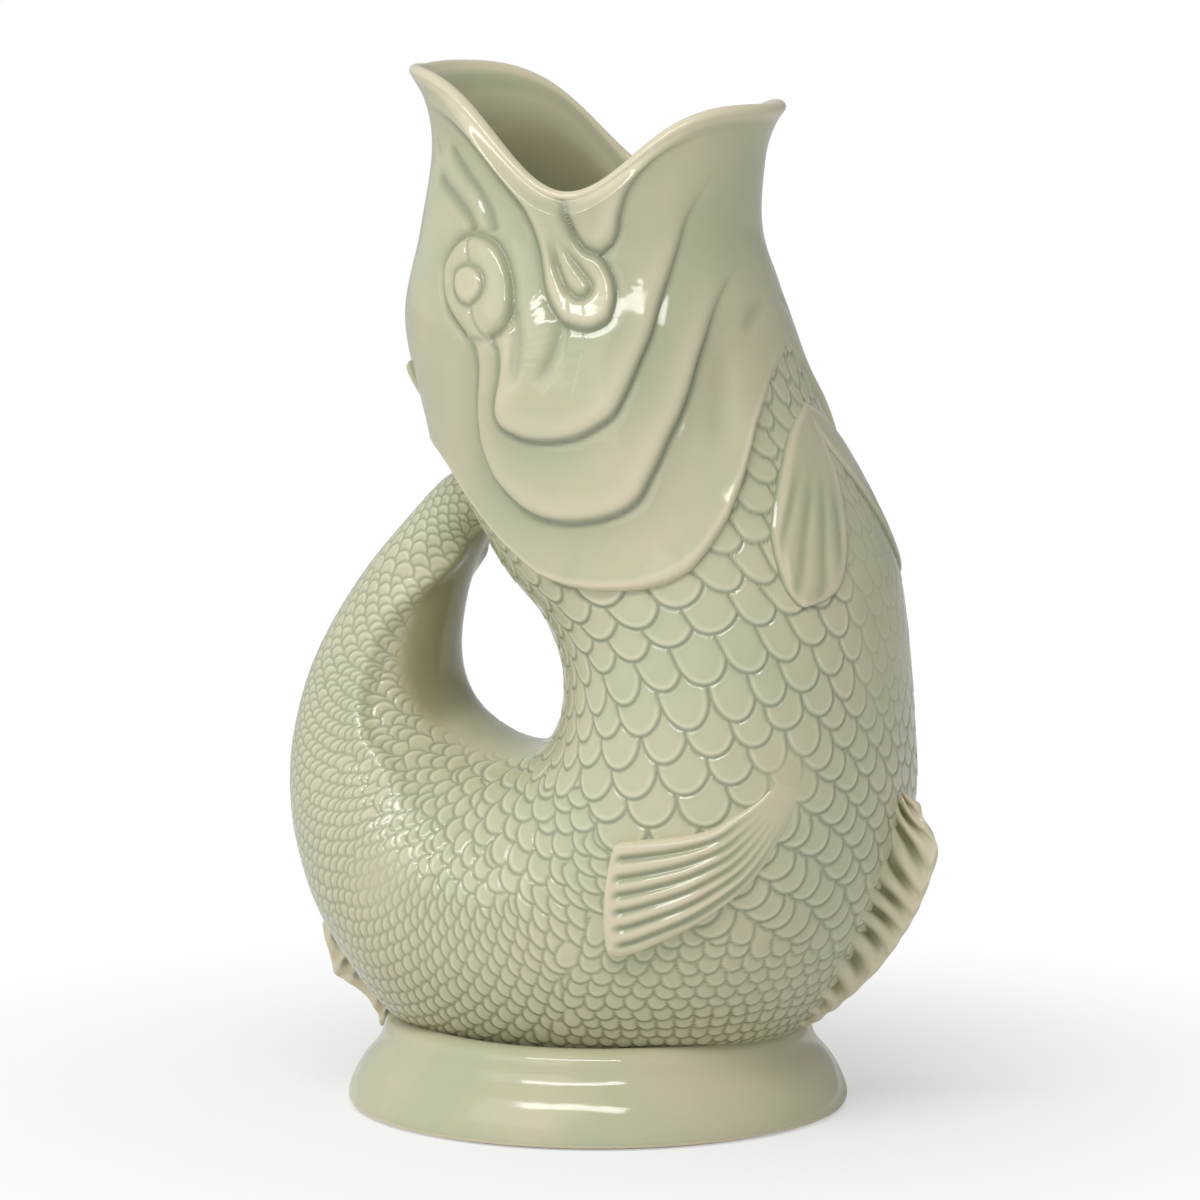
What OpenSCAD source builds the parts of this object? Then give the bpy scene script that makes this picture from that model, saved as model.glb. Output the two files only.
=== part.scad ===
// Gurgle jug in the shape of an upright fish, in millimetres, standing on z = 0.
// The spout faces +X, the tail handle is behind at -X, and both sides of y = 0 are alike.
// The fish's skin is one sweep of oval sections that runs down the head and trunk, round under
// the hand hole and up the tail. Each piece is placed on that skin by its station, counted from
// the rim, and its turn, in degrees round the section from the hole side to the belly side.

/* [Jug] */
// Height of the upper jaw's tip above the table
jug_h = 244; // [200:1:290]
// Reach of the belly in front of the foot's axis
belly_reach = 76; // [66:0.5:86]
// Reach of the tail behind the foot's axis
tail_reach = 76; // [66:0.5:86]
// Half the greatest width of the body, side to side
body_half_w = 52; // [44:0.5:60]
// Thickness of the cast wall
wall = 4.5; // [3.5:0.1:6]
// Thickness of the slip under a luted piece
lute = 0.2; // [0.1:0.05:0.4]

/* [Mouth] */
// Depth of the mouth's corners below the jaws
notch_depth = 23; // [15:0.5:28]
// Thickness of the lip at the rim
lip_t = 3; // [2:0.1:4]
// Rise of the lip's rounded top
lip_round = 0.8; // [0.4:0.1:1.4]
// Thickness of the fold beside the mouth's corner
fold_t = 2; // [1:0.1:3]

/* [Eyes and gill covers] */
// Thickness of the eye's domed middle
eye_t = 2.6; // [1.5:0.1:4]
// Thickness of the gill cover at its free edge
gill_t = 2.2; // [1:0.1:3.5]
// Thickness of the gill cover where it joins the cheek
gill_root_t = 0.8; // [0.5:0.1:1.5]

/* [Fins] */
// Reach of the belly fin beyond the body
belly_fin_reach = 11; // [6:0.5:15]
// Half the thickness of the belly fin at its root
belly_fin_half_t = 5; // [3:0.1:7]
// Reach of the rear fin beyond the body
rear_fin_reach = 8; // [4:0.5:12]
// Half the thickness of the rear fin at its root
rear_fin_half_t = 4; // [3:0.1:6]
// Thickness of the side fins at their free end
side_fin_t = 3.4; // [2:0.1:5]
// Thickness of the side fins at the root
side_fin_root_t = 1.8; // [1:0.1:3]
// Thickness of the throat fins
throat_fin_t = 2; // [1:0.1:3]
// Height of the ribs on every fin
rib_h = 0.9; // [0.4:0.1:1.5]
// Thickness of the tail fin where the tail runs into it
tail_fin_root_t = 6; // [4:0.1:9]
// Thickness of the tail fin at its tip
tail_fin_tip_t = 2.4; // [1.5:0.1:4]

/* [Foot] */
// Radius of the foot at its widest
foot_r = 59; // [54:0.5:66]
// Height of the foot's top
foot_h = 22; // [19:0.5:26]
// Depth of the recess under the foot
recess_depth = 3; // [2:0.1:4]
// Height of the bare ring under the foot
ring_h = 1.2; // [0.8:0.1:2]
// Outer radius of the bare ring
ring_r = 56.5; // [53:0.5:58]
// Width of the bare ring
ring_w = 8; // [5:0.5:12]

/* [Hidden] */

// Oval sections from the rim to the nape: hole side x and z, belly side x and z, half width, notch
station_shares = [
    [-0.612, 1.000,  0.612, 0.969, 0.654, 1.00],
    [-0.553, 0.965,  0.553, 0.945, 0.644, 0.98],
    [-0.533, 0.918,  0.517, 0.908, 0.673, 0.85],
    [-0.568, 0.842,  0.508, 0.840, 0.750, 0.48],
    [-0.611, 0.762,  0.595, 0.764, 0.837, 0.09],
    [-0.546, 0.684,  0.697, 0.686, 0.875, 0],
    [-0.428, 0.607,  0.836, 0.611, 0.894, 0],
    [-0.270, 0.531,  0.934, 0.535, 0.904, 0],
    [-0.132, 0.486,  0.964, 0.486, 0.904, 0],
    [-0.063, 0.441,  0.979, 0.439, 0.913, 0],
    [-0.055, 0.400,  0.991, 0.381, 0.942, 0],
    [-0.086, 0.371,  0.993, 0.299, 0.981, 0],
    [-0.138, 0.355,  0.914, 0.193, 1.000, 0],
    [-0.191, 0.348,  0.658, 0.082, 1.000, 0],
    [-0.243, 0.346,  0.263, 0.027, 1.000, 0],
    [-0.296, 0.348, -0.158, 0.023, 0.981, 0],
    [-0.353, 0.352, -0.553, 0.057, 0.933, 0],
    [-0.408, 0.362, -0.842, 0.145, 0.827, 0],
    [-0.454, 0.377, -0.967, 0.230, 0.683, 0],
    [-0.482, 0.400, -0.997, 0.303, 0.548, 0],
    [-0.489, 0.426, -0.980, 0.369, 0.452, 0],
    [-0.476, 0.459, -0.914, 0.432, 0.371, 0],
    [-0.443, 0.500, -0.776, 0.504, 0.302, 0],
    [-0.388, 0.537, -0.612, 0.566, 0.240, 0],
    [-0.349, 0.557, -0.487, 0.605, 0.212, 0]
];
// Turn of the mouth's corner, and the spread of its notch towards the back and the front
notch_angle = 95;
notch_back_angle = 38;
notch_front_angle = 29.5;
// Station where the body is cut for the tail, and where the tail's tube and its hollow end
tail_start_stations = 18;
tail_end_stations = 23.2;
hollow_end_stations = 22.2;
// Place of the tail's end on the nape, with half its length in stations and half its turn
nape_stations = 6.2;
nape_half_stations = 0.36;
nape_half_angle = 13.5;
// Points round a section and the step between sections, in stations
ring_count = 40;
head_step = 0.5;
bend_step = 0.25;
bend_stations = 10;
// Small steps that find the skin's slope, in stations and in degrees
probe_stations = 0.01;
probe_angle = 0.5;

function reach_of(share) = share * (share > 0 ? belly_reach : tail_reach);

// One section's sizes at any station, smooth between the rows of the table
function section_at(s) =
    let (
        last = len(station_shares) - 1,
        i = min(max(floor(s), 0), last - 1),
        f = s - i,
        a = station_shares[max(i - 1, 0)],
        b = station_shares[i],
        c = station_shares[i + 1],
        d = station_shares[min(i + 2, last)]
    )
    b + f / 2 * ((c - a) + f * ((2 * a - 5 * b + 4 * c - d) + f * (3 * (b - c) + d - a)));

function notch_share(turn) =
    let (
        folded = turn > 180 ? abs(360 - turn) : abs(turn),
        off = folded - notch_angle,
        spread = off < 0 ? notch_back_angle : notch_front_angle
    )
    exp(-pow(off / spread, 2));

// A point of the outer skin
function skin_at(s, turn) =
    let (
        q = section_at(s),
        across = (1 - cos(turn)) / 2,
        x = reach_of(q[0]) + across * (reach_of(q[2]) - reach_of(q[0])),
        z = jug_h * (q[1] + across * (q[3] - q[1]))
    )
    [
        x,
        -body_half_w * q[4] * sin(turn),
        z - notch_depth * q[5] * notch_share(turn)
    ];

function skin_normal(s, turn) =
    let (
        along = skin_at(s + probe_stations, turn) - skin_at(s - probe_stations, turn),
        round = skin_at(s, turn + probe_angle) - skin_at(s, turn - probe_angle),
        n = cross(along, round)
    )
    n / norm(n);

// A point raised above the skin, or sunk below it where the height is negative
function raised(s, turn, height) = skin_at(s, turn) + height * skin_normal(s, turn);

function wall_at(s) = s < 1 ? lip_t + (wall - lip_t) * s : wall;
function ring_at(s, depth) =
    [for (k = [0 : ring_count - 1]) raised(s, 360 * k / ring_count, -depth)];
function middle(ring) = [for (p = ring) 1] * ring / len(ring);
function blend(a, b, f) = a + (b - a) * f;

// Value of a two-column table at a place along its first column
function table_at(rows, place) =
    let (
        i = max([for (k = [0 : len(rows) - 2]) rows[k][0] <= place ? k : 0]),
        f = (place - rows[i][0]) / (rows[i + 1][0] - rows[i][0])
    )
    blend(rows[i], rows[i + 1], f);

// Two sheets of points over the same places, one raised to each place's height, one on the slip
function raised_rows(places) = [for (row = places) [for (p = row) raised(p[0], p[1], p[2])]];
function luted_rows(places) = [for (row = places) [for (p = row) raised(p[0], p[1], lute)]];

body_rows = concat(
    [for (s = [0 : head_step : bend_stations]) s],
    [for (s = [bend_stations + bend_step : bend_step : tail_start_stations]) s]
);
tail_rows = [for (s = [tail_start_stations : bend_step : tail_end_stations]) s];
hollow_rows = [for (s = [tail_start_stations : bend_step : hollow_end_stations]) s];

// Closed skin over a row of rings, joined end to end in a loop or fanned shut at both ends
module ring_skin(rings, loop) {
    n = len(rings);
    m = len(rings[0]);
    band = [
        for (i = [0 : n - (loop ? 1 : 2)])
            for (j = [0 : m - 1])
                let (
                    a = i * m + j,
                    b = i * m + (j + 1) % m,
                    c = (i + 1) % n * m + (j + 1) % m,
                    d = (i + 1) % n * m + j
                )
                each [[a, b, c], [a, c, d]]
    ];
    start_fan = [for (j = [0 : m - 1]) [n * m, (j + 1) % m, j]];
    end_fan = [for (j = [0 : m - 1]) [n * m + 1, (n - 1) * m + j, (n - 1) * m + (j + 1) % m]];
    ring_points = [for (r = rings) each r];
    if (loop) {
        polyhedron(ring_points, band);
    } else {
        polyhedron(
            concat(ring_points, [middle(rings[0]), middle(rings[n - 1])]),
            concat(band, start_fan, end_fan)
        );
    }
}

// Closed slab between an outer and an inner sheet of points, row by row
module slab(outer_rows, inner_rows) {
    n = len(outer_rows);
    m = len(outer_rows[0]);
    below = n * m;
    sheet = [
        for (i = [0 : n - 2])
            for (j = [0 : m - 2])
                let (a = i * m + j)
                each [[a, a + 1, a + m + 1], [a, a + m + 1, a + m]]
    ];
    rim = concat(
        [for (j = [0 : m - 2]) [j, j + 1]],
        [for (i = [0 : n - 2]) [i * m + m - 1, i * m + 2 * m - 1]],
        [for (j = [m - 1 : -1 : 1]) [(n - 1) * m + j, (n - 1) * m + j - 1]],
        [for (i = [n - 1 : -1 : 1]) [i * m, (i - 1) * m]]
    );
    polyhedron(
        concat([for (r = outer_rows) each r], [for (r = inner_rows) each r]),
        concat(
            sheet,
            [for (f = sheet) [f[2] + below, f[1] + below, f[0] + below]],
            [for (e = rim) each [[e[1], e[0], e[0] + below], [e[1], e[0] + below, e[1] + below]]]
        )
    );
}

// Piece luted on the skin, from rows of places: station, turn and height of each
module plate(places) {
    slab(raised_rows(places), luted_rows(places));
}

// Hollow cast body, from the lips down the trunk and round under the hand hole
module body_shell() {
    lip = [
        for (k = [0 : ring_count - 1])
            let (turn = 360 * k / ring_count)
            raised(0, turn, -lip_t / 2) + [0, 0, lip_round]
    ];
    color("DarkSeaGreen")
        ring_skin(
            concat(
                [lip],
                [for (s = body_rows) ring_at(s, 0)],
                [
                    for (k = [len(body_rows) - 1 : -1 : 0])
                        let (s = body_rows[k])
                        ring_at(s, wall_at(s))
                ]
            ),
            true
        );
}

// Hollow tail that opens into the body below and is shut at the nape, where it traps the air
module tail_handle() {
    nape = [
        for (k = [0 : ring_count - 1])
            let (turn = 360 * k / ring_count)
            raised(
                nape_stations + nape_half_stations * cos(turn),
                nape_half_angle * sin(turn),
                lute
            )
    ];
    color("DarkSeaGreen")
        ring_skin(
            concat(
                [for (k = [len(hollow_rows) - 1 : -1 : 0]) ring_at(hollow_rows[k], wall)],
                [for (s = tail_rows) ring_at(s, 0)],
                [nape]
            ),
            false
        );
}

// Forked tail fin pressed on the back of the head above the tail's end
tail_fin_root_stations = 5.8;
tail_fin_tip_stations = 4.5;
tail_fin_fork_stations = 0.3;
tail_fin_root_angle = 11;
tail_fin_tip_angle = 27;
module tail_fin() {
    rows = 8;
    columns = 16;
    function place(i, j) =
        let (
            side = 1 - 2 * j / columns,
            tip = tail_fin_tip_stations + tail_fin_fork_stations * (1 - pow(side, 2)),
            f = i / rows
        )
        [
            blend(tip, tail_fin_root_stations, f),
            side * blend(tail_fin_tip_angle, tail_fin_root_angle, f),
            blend(tail_fin_tip_t, tail_fin_root_t, pow(f, 2)) - rib_h * (j % 2)
        ];
    color("DarkKhaki")
        plate([for (i = [0 : rows]) [for (j = [columns : -1 : 0]) place(i, j)]]);
}

// Round foot, dished on top so that the bowl beds in it, with a shallow recess below
foot_shares = [
    [0.965, 0.055], [0.990, 0.080], [1.000, 0.170], [0.993, 0.300], [0.972, 0.480],
    [0.932, 0.680], [0.880, 0.850], [0.820, 0.960], [0.760, 1.000]
];
module pedestal() {
    recess_r = ring_r - ring_w;
    bed_rows = [for (s = body_rows) if (s >= bend_stations) s];
    color("Beige")
        difference() {
            rotate_extrude($fn = 96)
                polygon(
                    concat(
                        [[0, ring_h + recess_depth], [recess_r - recess_depth, ring_h + recess_depth]],
                        [[recess_r, ring_h], [foot_r * foot_shares[0][0], ring_h]],
                        [for (p = foot_shares) [foot_r * p[0], max(foot_h * p[1], ring_h)]],
                        [[0, foot_h]]
                    )
                );
            ring_skin([for (s = bed_rows) ring_at(s, 0)], false);
        }
}

// Bare clay ring that the jug stands on
module foot_ring() {
    color("Tan")
        rotate_extrude($fn = 96)
            translate([ring_r - ring_w, 0])
                square([ring_w, ring_h]);
}

// Cheek plate that ends in the gill's free edge: turn, station at the cheek and at the free edge
gill_place_shares = [
    [40, 5.30, 5.85], [50, 5.35, 6.50], [63, 5.40, 7.00], [79, 5.45, 7.15], [95, 5.45, 7.10],
    [111, 5.30, 6.83], [128, 4.95, 6.24], [138, 4.70, 5.79], [150, 4.40, 5.23], [162, 4.15, 4.72]
];
module gill_cover() {
    rows = 6;
    columns = 24;
    first = gill_place_shares[0][0];
    last = gill_place_shares[len(gill_place_shares) - 1][0];
    function place(i, j) =
        let (
            edge = table_at(gill_place_shares, blend(first, last, j / columns)),
            f = i / rows
        )
        [
            blend(edge[1], edge[2], f),
            edge[0],
            blend(gill_root_t, gill_t, f)
        ];
    plate([for (i = [0 : rows]) [for (j = [0 : columns]) place(i, j)]]);
}
module right_gill_cover() {
    color("DarkSeaGreen")
        gill_cover();
}
module left_gill_cover() {
    color("DarkSeaGreen")
        mirror([0, 1, 0])
            gill_cover();
}

// Oval eye, domed
eye_stations = 3.28;
eye_angle = 71;
eye_half_stations = 0.78;
eye_half_angle = 12.5;
eye_lean_angle = 6;
module eye() {
    count = 32;
    function oval(size, height) = [
        for (k = [0 : count - 1])
            let (a = 360 * k / count)
            raised(
                eye_stations + size * eye_half_stations * cos(a),
                eye_angle + size * (eye_lean_angle * cos(a) - eye_half_angle * sin(a)),
                height
            )
    ];
    back_shares = [0.2, 0.6, 1];
    dome_shares = [[1, 0.45], [0.92, 0.7], [0.75, 0.88], [0.5, 0.97], [0.2, 1]];
    ring_skin(
        concat(
            [for (size = back_shares) oval(size, lute)],
            [for (d = dome_shares) oval(d[0], blend(lute, eye_t, d[1]))]
        ),
        false
    );
}
module right_eye() {
    color("DarkKhaki")
        eye();
}
module left_eye() {
    color("DarkKhaki")
        mirror([0, 1, 0])
            eye();
}

// Fold that hangs from the mouth's corner: station, turn of its back edge and of its front edge
fold_place_shares = [
    [0.55, 87, 95], [1.2, 87, 103], [2.0, 91, 109], [2.7, 95, 115], [3.3, 100, 117.5],
    [3.65, 103, 115], [3.85, 106, 111]
];
module lip_fold() {
    rows = 14;
    columns = 6;
    edge_share = 0.4;
    first = fold_place_shares[0][0];
    last = fold_place_shares[len(fold_place_shares) - 1][0];
    function place(i, j) =
        let (
            edge = table_at(fold_place_shares, blend(first, last, i / rows)),
            f = j / columns
        )
        [
            edge[0],
            blend(edge[1], edge[2], f),
            blend(lute, fold_t, blend(edge_share, 1, sin(180 * f)))
        ];
    plate([for (i = [0 : rows]) [for (j = [0 : columns]) place(i, j)]]);
}
module right_lip_fold() {
    color("Beige")
        lip_fold();
}
module left_lip_fold() {
    color("Beige")
        mirror([0, 1, 0])
            lip_fold();
}

// Ribbed side fin: place along it from the free end, then station and turn of its two long edges
side_fin_place_shares = [
    [0.00, 11.83, 84, 13.06, 102], [0.35, 11.43, 102, 12.65, 111], [0.70, 11.02, 121, 11.95, 125],
    [1.00, 10.60, 136, 11.25, 138]
];
side_fin_ribs = 6;
module side_fin() {
    rows = 12;
    columns = 2 * side_fin_ribs;
    function place(i, j) =
        let (
            edge = table_at(side_fin_place_shares, 1 - j / rows),
            f = i / columns
        )
        [
            blend(edge[1], edge[3], f),
            blend(edge[2], edge[4], f),
            blend(side_fin_t, side_fin_root_t, edge[0]) - rib_h * (i % 2)
        ];
    plate([for (i = [0 : columns]) [for (j = [rows : -1 : 0]) place(i, j)]]);
}
module right_side_fin() {
    color("DarkKhaki")
        side_fin();
}
module left_side_fin() {
    color("DarkKhaki")
        mirror([0, 1, 0])
            side_fin();
}

// Leaf-shaped throat fin: station, turn of its back edge and of its front edge
throat_fin_place_shares = [
    [4.75, 168, 172], [5.2, 157, 170], [5.7, 147, 168], [6.5, 138, 165], [7.0, 136, 159],
    [7.4, 140, 148]
];
throat_fin_ribs = 5;
module throat_fin() {
    rows = 14;
    columns = 2 * throat_fin_ribs;
    first = throat_fin_place_shares[0][0];
    last = throat_fin_place_shares[len(throat_fin_place_shares) - 1][0];
    function place(i, j) =
        let (
            edge = table_at(throat_fin_place_shares, blend(first, last, i / rows))
        )
        [
            edge[0],
            blend(edge[1], edge[2], j / columns),
            throat_fin_t - rib_h * (j % 2)
        ];
    plate([for (i = [0 : rows]) [for (j = [0 : columns]) place(i, j)]]);
}
module right_throat_fin() {
    color("DarkKhaki")
        throat_fin();
}
module left_throat_fin() {
    color("DarkKhaki")
        mirror([0, 1, 0])
            throat_fin();
}

// Upright ruffled fin on the middle of the belly side: a point at shares of its length and depth
function keel_point(ends, reach, depth_shares, along, out) =
    raised(
        blend(ends[0], ends[1], along),
        180,
        blend(lute, reach * table_at(depth_shares, along)[1], out)
    );

// How far a point stands clear of the foot, outwards or upwards
foot_profile_shares = [for (p = foot_shares) [p[1], p[0]]];
function foot_clearance(p) =
    max(
        p[2] - foot_h,
        norm([p[0], p[1]]) - foot_r * table_at(foot_profile_shares, p[2] / foot_h)[1]
    );
function keel_clearance(ends, reach, depth_shares) =
    min([
        for (i = [0 : keel_tries])
            for (j = [0 : keel_tries])
                foot_clearance(keel_point(ends, reach, depth_shares, i / keel_tries, j / keel_tries))
    ]);

// The end of a fin that comes down to the foot: the furthest of the tried stations that clears it
keel_tries = 6;
keel_step = 0.02;
function keel_end(top, reach, depth_shares, tried) =
    let (
        ends = [
            for (s = tried)
                if (keel_clearance([top, s], reach, depth_shares) >= lute) s
        ]
    )
    ends[len(ends) - 1];

module keel_fin(ends, reach, half_t, waves, depth_shares) {
    rows = 4 * waves;
    columns = 4;
    edge_t_share = 0.45;
    function sheet(side) = [
        for (i = [0 : rows])
            let (sway = rib_h * sin(90 * i))
            [
                for (j = [0 : columns])
                    let (
                        out = j / columns,
                        half = half_t * blend(1, edge_t_share, out)
                    )
                    keel_point(ends, reach, depth_shares, i / rows, out) + [0, side * half + sway, 0]
            ]
    ];
    slab(sheet(ends[0] < ends[1] ? -1 : 1), sheet(ends[0] < ends[1] ? 1 : -1));
}

// Ruffled fin down the front of the belly to the foot
belly_fin_top_stations = 10.5;
belly_fin_least_stations = 11.8;
belly_fin_most_stations = 13.4;
belly_fin_waves = 8;
belly_fin_depth_shares = [
    [0, 0.15], [0.15, 0.45], [0.3, 1], [0.45, 0.95], [0.7, 0.85], [0.9, 0.75], [1, 0.4]
];
belly_fin_end_stations = keel_end(
    belly_fin_top_stations,
    belly_fin_reach,
    belly_fin_depth_shares,
    [for (s = [belly_fin_least_stations : keel_step : belly_fin_most_stations]) s]
);
module belly_fin() {
    color("Beige")
        keel_fin(
            [belly_fin_top_stations, belly_fin_end_stations],
            belly_fin_reach,
            belly_fin_half_t,
            belly_fin_waves,
            belly_fin_depth_shares
        );
}

// Ruffled fin below the tail's bend, down to the foot
rear_fin_top_stations = 17.35;
rear_fin_least_stations = 15.6;
rear_fin_most_stations = 17;
rear_fin_waves = 5;
rear_fin_depth_shares = [[0, 0.2], [0.15, 0.7], [0.4, 1], [0.8, 0.9], [1, 0.4]];
rear_fin_end_stations = keel_end(
    rear_fin_top_stations,
    rear_fin_reach,
    rear_fin_depth_shares,
    [for (s = [rear_fin_most_stations : -keel_step : rear_fin_least_stations]) s]
);
module rear_fin() {
    color("Beige")
        keel_fin(
            [rear_fin_top_stations, rear_fin_end_stations],
            rear_fin_reach,
            rear_fin_half_t,
            rear_fin_waves,
            rear_fin_depth_shares
        );
}

body_shell();
tail_handle();
tail_fin();
pedestal();
foot_ring();
right_gill_cover();
left_gill_cover();
right_eye();
left_eye();
right_lip_fold();
left_lip_fold();
right_side_fin();
left_side_fin();
right_throat_fin();
left_throat_fin();
belly_fin();
rear_fin();
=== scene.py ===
import math

import bmesh
import bpy
import numpy as np
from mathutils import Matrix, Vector
from mathutils.bvhtree import BVHTree
from mathutils.kdtree import KDTree


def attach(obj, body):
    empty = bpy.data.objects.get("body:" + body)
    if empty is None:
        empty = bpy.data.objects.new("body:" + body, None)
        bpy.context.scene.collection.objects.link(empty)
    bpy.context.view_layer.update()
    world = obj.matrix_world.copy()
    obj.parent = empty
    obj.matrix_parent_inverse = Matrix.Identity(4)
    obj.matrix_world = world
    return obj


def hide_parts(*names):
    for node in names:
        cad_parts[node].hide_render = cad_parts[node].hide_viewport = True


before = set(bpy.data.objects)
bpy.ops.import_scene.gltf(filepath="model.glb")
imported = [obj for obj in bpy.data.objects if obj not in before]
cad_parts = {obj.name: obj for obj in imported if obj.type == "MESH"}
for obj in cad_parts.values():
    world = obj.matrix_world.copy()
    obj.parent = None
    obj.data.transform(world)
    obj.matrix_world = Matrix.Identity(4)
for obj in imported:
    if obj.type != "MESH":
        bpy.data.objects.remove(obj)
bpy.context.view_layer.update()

MM = 0.001


def add_object(name, data):
    thing = bpy.data.objects.new(name, data)
    bpy.context.scene.collection.objects.link(thing)
    return thing


def add_mesh(name, bm):
    mesh = bpy.data.meshes.new(name)
    bm.to_mesh(mesh)
    bm.free()
    return mesh


# Camera: a long lens a little above the jug's rim, turned towards its right flank,
# so that the spout points right and the tail handle is at the left.
CAMERA_TURN = math.radians(22)
CAMERA_REACH = 1500
CAMERA_Z = 320
AIM_Z = 120
FRAME_PX = 1200
FOCAL_PX = 6450
AIM_PX = (598, 596)
eye_x, eye_y = CAMERA_REACH * math.sin(CAMERA_TURN), -CAMERA_REACH * math.cos(CAMERA_TURN)
eye = Vector((eye_x, eye_y, CAMERA_Z))
sight = (Vector((0, 0, AIM_Z)) - eye).to_track_quat("-Z", "Y")
camera_data = bpy.data.cameras.new("camera")
camera_data.sensor_width = 36
camera_data.lens = camera_data.sensor_width * FOCAL_PX / FRAME_PX
camera_data.shift_x = (FRAME_PX / 2 - AIM_PX[0]) / FRAME_PX
camera_data.shift_y = (AIM_PX[1] - FRAME_PX / 2) / FRAME_PX
camera = add_object("camera", camera_data)
camera.location = eye * MM
camera.rotation_euler = sight.to_euler()
bpy.context.scene.camera = camera

# Scaled skin of the trunk, bowl and tail: the cast wall of the fish, in white earthenware.
# Its scales are cut in the model that the mould was taken from, and the glaze pools between them.
# Oval sections from the rim to the nape: hole side x, z, belly side x, z, half width, mouth notch
SECTIONS = np.array(
    [
        (-46.5, 244.0, 46.5, 236.5, 34.0, 23.0),
        (-41.2, 235.5, 42.0, 230.5, 33.5, 22.5),
        (-39.3, 224.0, 39.3, 221.5, 35.0, 19.5),
        (-41.8, 205.5, 38.6, 205.0, 39.0, 11.0),
        (-45.2, 186.0, 45.0, 186.5, 43.5, 2.0),
        (-40.2, 167.0, 51.6, 167.5, 45.5, 0),
        (-31.3, 148.0, 62.1, 149.0, 46.5, 0),
        (-20.5, 129.5, 71.0, 130.5, 47.0, 0),
        (-10.0, 118.5, 73.3, 118.5, 47.0, 0),
        (-4.8, 107.5, 74.4, 107.0, 47.5, 0),
        (-4.2, 97.5, 75.3, 93.0, 49.0, 0),
        (-6.5, 90.5, 75.5, 73.0, 51.0, 0),
        (-10.5, 86.7, 69.5, 47.0, 52.0, 0),
        (-14.5, 85.0, 50.0, 20.0, 52.0, 0),
        (-18.5, 84.5, 20.0, 6.5, 52.0, 0),
        (-22.5, 84.8, -12.0, 5.5, 51.0, 0),
        (-26.8, 86.0, -40.8, 15.0, 48.5, 0),
        (-31.0, 88.3, -61.6, 36.6, 43.0, 0),
        (-34.5, 92.0, -72.0, 56.6, 35.5, 0),
        (-36.6, 97.5, -75.8, 74.0, 28.5, 0),
        (-37.2, 104.0, -74.5, 90.0, 23.5, 0),
        (-36.2, 112.0, -69.5, 105.5, 19.3, 0),
        (-33.7, 122.0, -59.0, 123.0, 15.7, 0),
        (-29.5, 131.0, -46.5, 138.0, 12.5, 0),
        (-26.5, 136.0, -37.0, 147.5, 11.0, 0),
        (-21.5, 142.0, -26.0, 153.0, 10.5, 0),
    ]
)
NOTCH_TURN, NOTCH_BACK, NOTCH_FRONT = 95, 29, 29.5


def curve(rows, at):
    """A smooth line through rows of numbers, at row numbers that may lie between two rows."""
    last = len(rows) - 1
    i = np.clip(np.floor(at).astype(int), 0, last - 1)
    f = (at - i)[..., None]
    a, b, c, d = rows[np.maximum(i - 1, 0)], rows[i], rows[i + 1], rows[np.minimum(i + 2, last)]
    return b + f / 2 * ((c - a) + f * (2 * a - 5 * b + 4 * c - d + f * (3 * (b - c) + d - a)))


def bell(x):
    return np.exp(-(x**2))


def fold_turn(turn):
    return np.abs((np.asarray(turn, float) + 180) % 360 - 180)


def skin(s, turn):
    """Points on the smooth wall, in millimetres, at stations from the rim to the nape."""
    s, turn = np.broadcast_arrays(np.asarray(s, float), np.asarray(turn, float))
    q = curve(SECTIONS, s)
    angle = np.radians(turn)
    share = (1 - np.cos(angle)) / 2
    off = fold_turn(turn) - NOTCH_TURN
    notch = bell(off / np.where(off < 0, NOTCH_BACK, NOTCH_FRONT))
    x = q[..., 0] + share * (q[..., 2] - q[..., 0])
    z = q[..., 1] + share * (q[..., 3] - q[..., 1])
    return np.stack([x, -q[..., 4] * np.sin(angle), z - q[..., 5] * notch], -1)


def unit(v):
    return v / np.linalg.norm(v, axis=-1, keepdims=True)


SMALL_S, SMALL_TURN = 0.01, 0.5


def skin_ways(s, turn):
    """Ways along the fish, round it and out of it."""
    along = skin(np.add(s, SMALL_S), turn) - skin(np.subtract(s, SMALL_S), turn)
    around = skin(s, np.add(turn, SMALL_TURN)) - skin(s, np.subtract(turn, SMALL_TURN))
    return unit(along), unit(around), unit(np.cross(along, around))


def over_skin(s, turn, height):
    return skin(s, turn) + skin_ways(s, turn)[2] * height[..., None]


def table(places, at):
    places = np.array(places, float)
    return np.interp(at, places[:, 0], places[:, 1])


def ramp(low, high, value):
    f = np.clip((value - low) / (np.asarray(high, float) - low), 0, 1)
    return f * f * (3 - 2 * f)


def sheet_normals(points, wrap):
    if wrap:
        across = np.roll(points, -1, 1) - np.roll(points, 1, 1)
    else:
        across = np.gradient(points, axis=1)
    return unit(np.cross(across, np.gradient(points, axis=0)))


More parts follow.
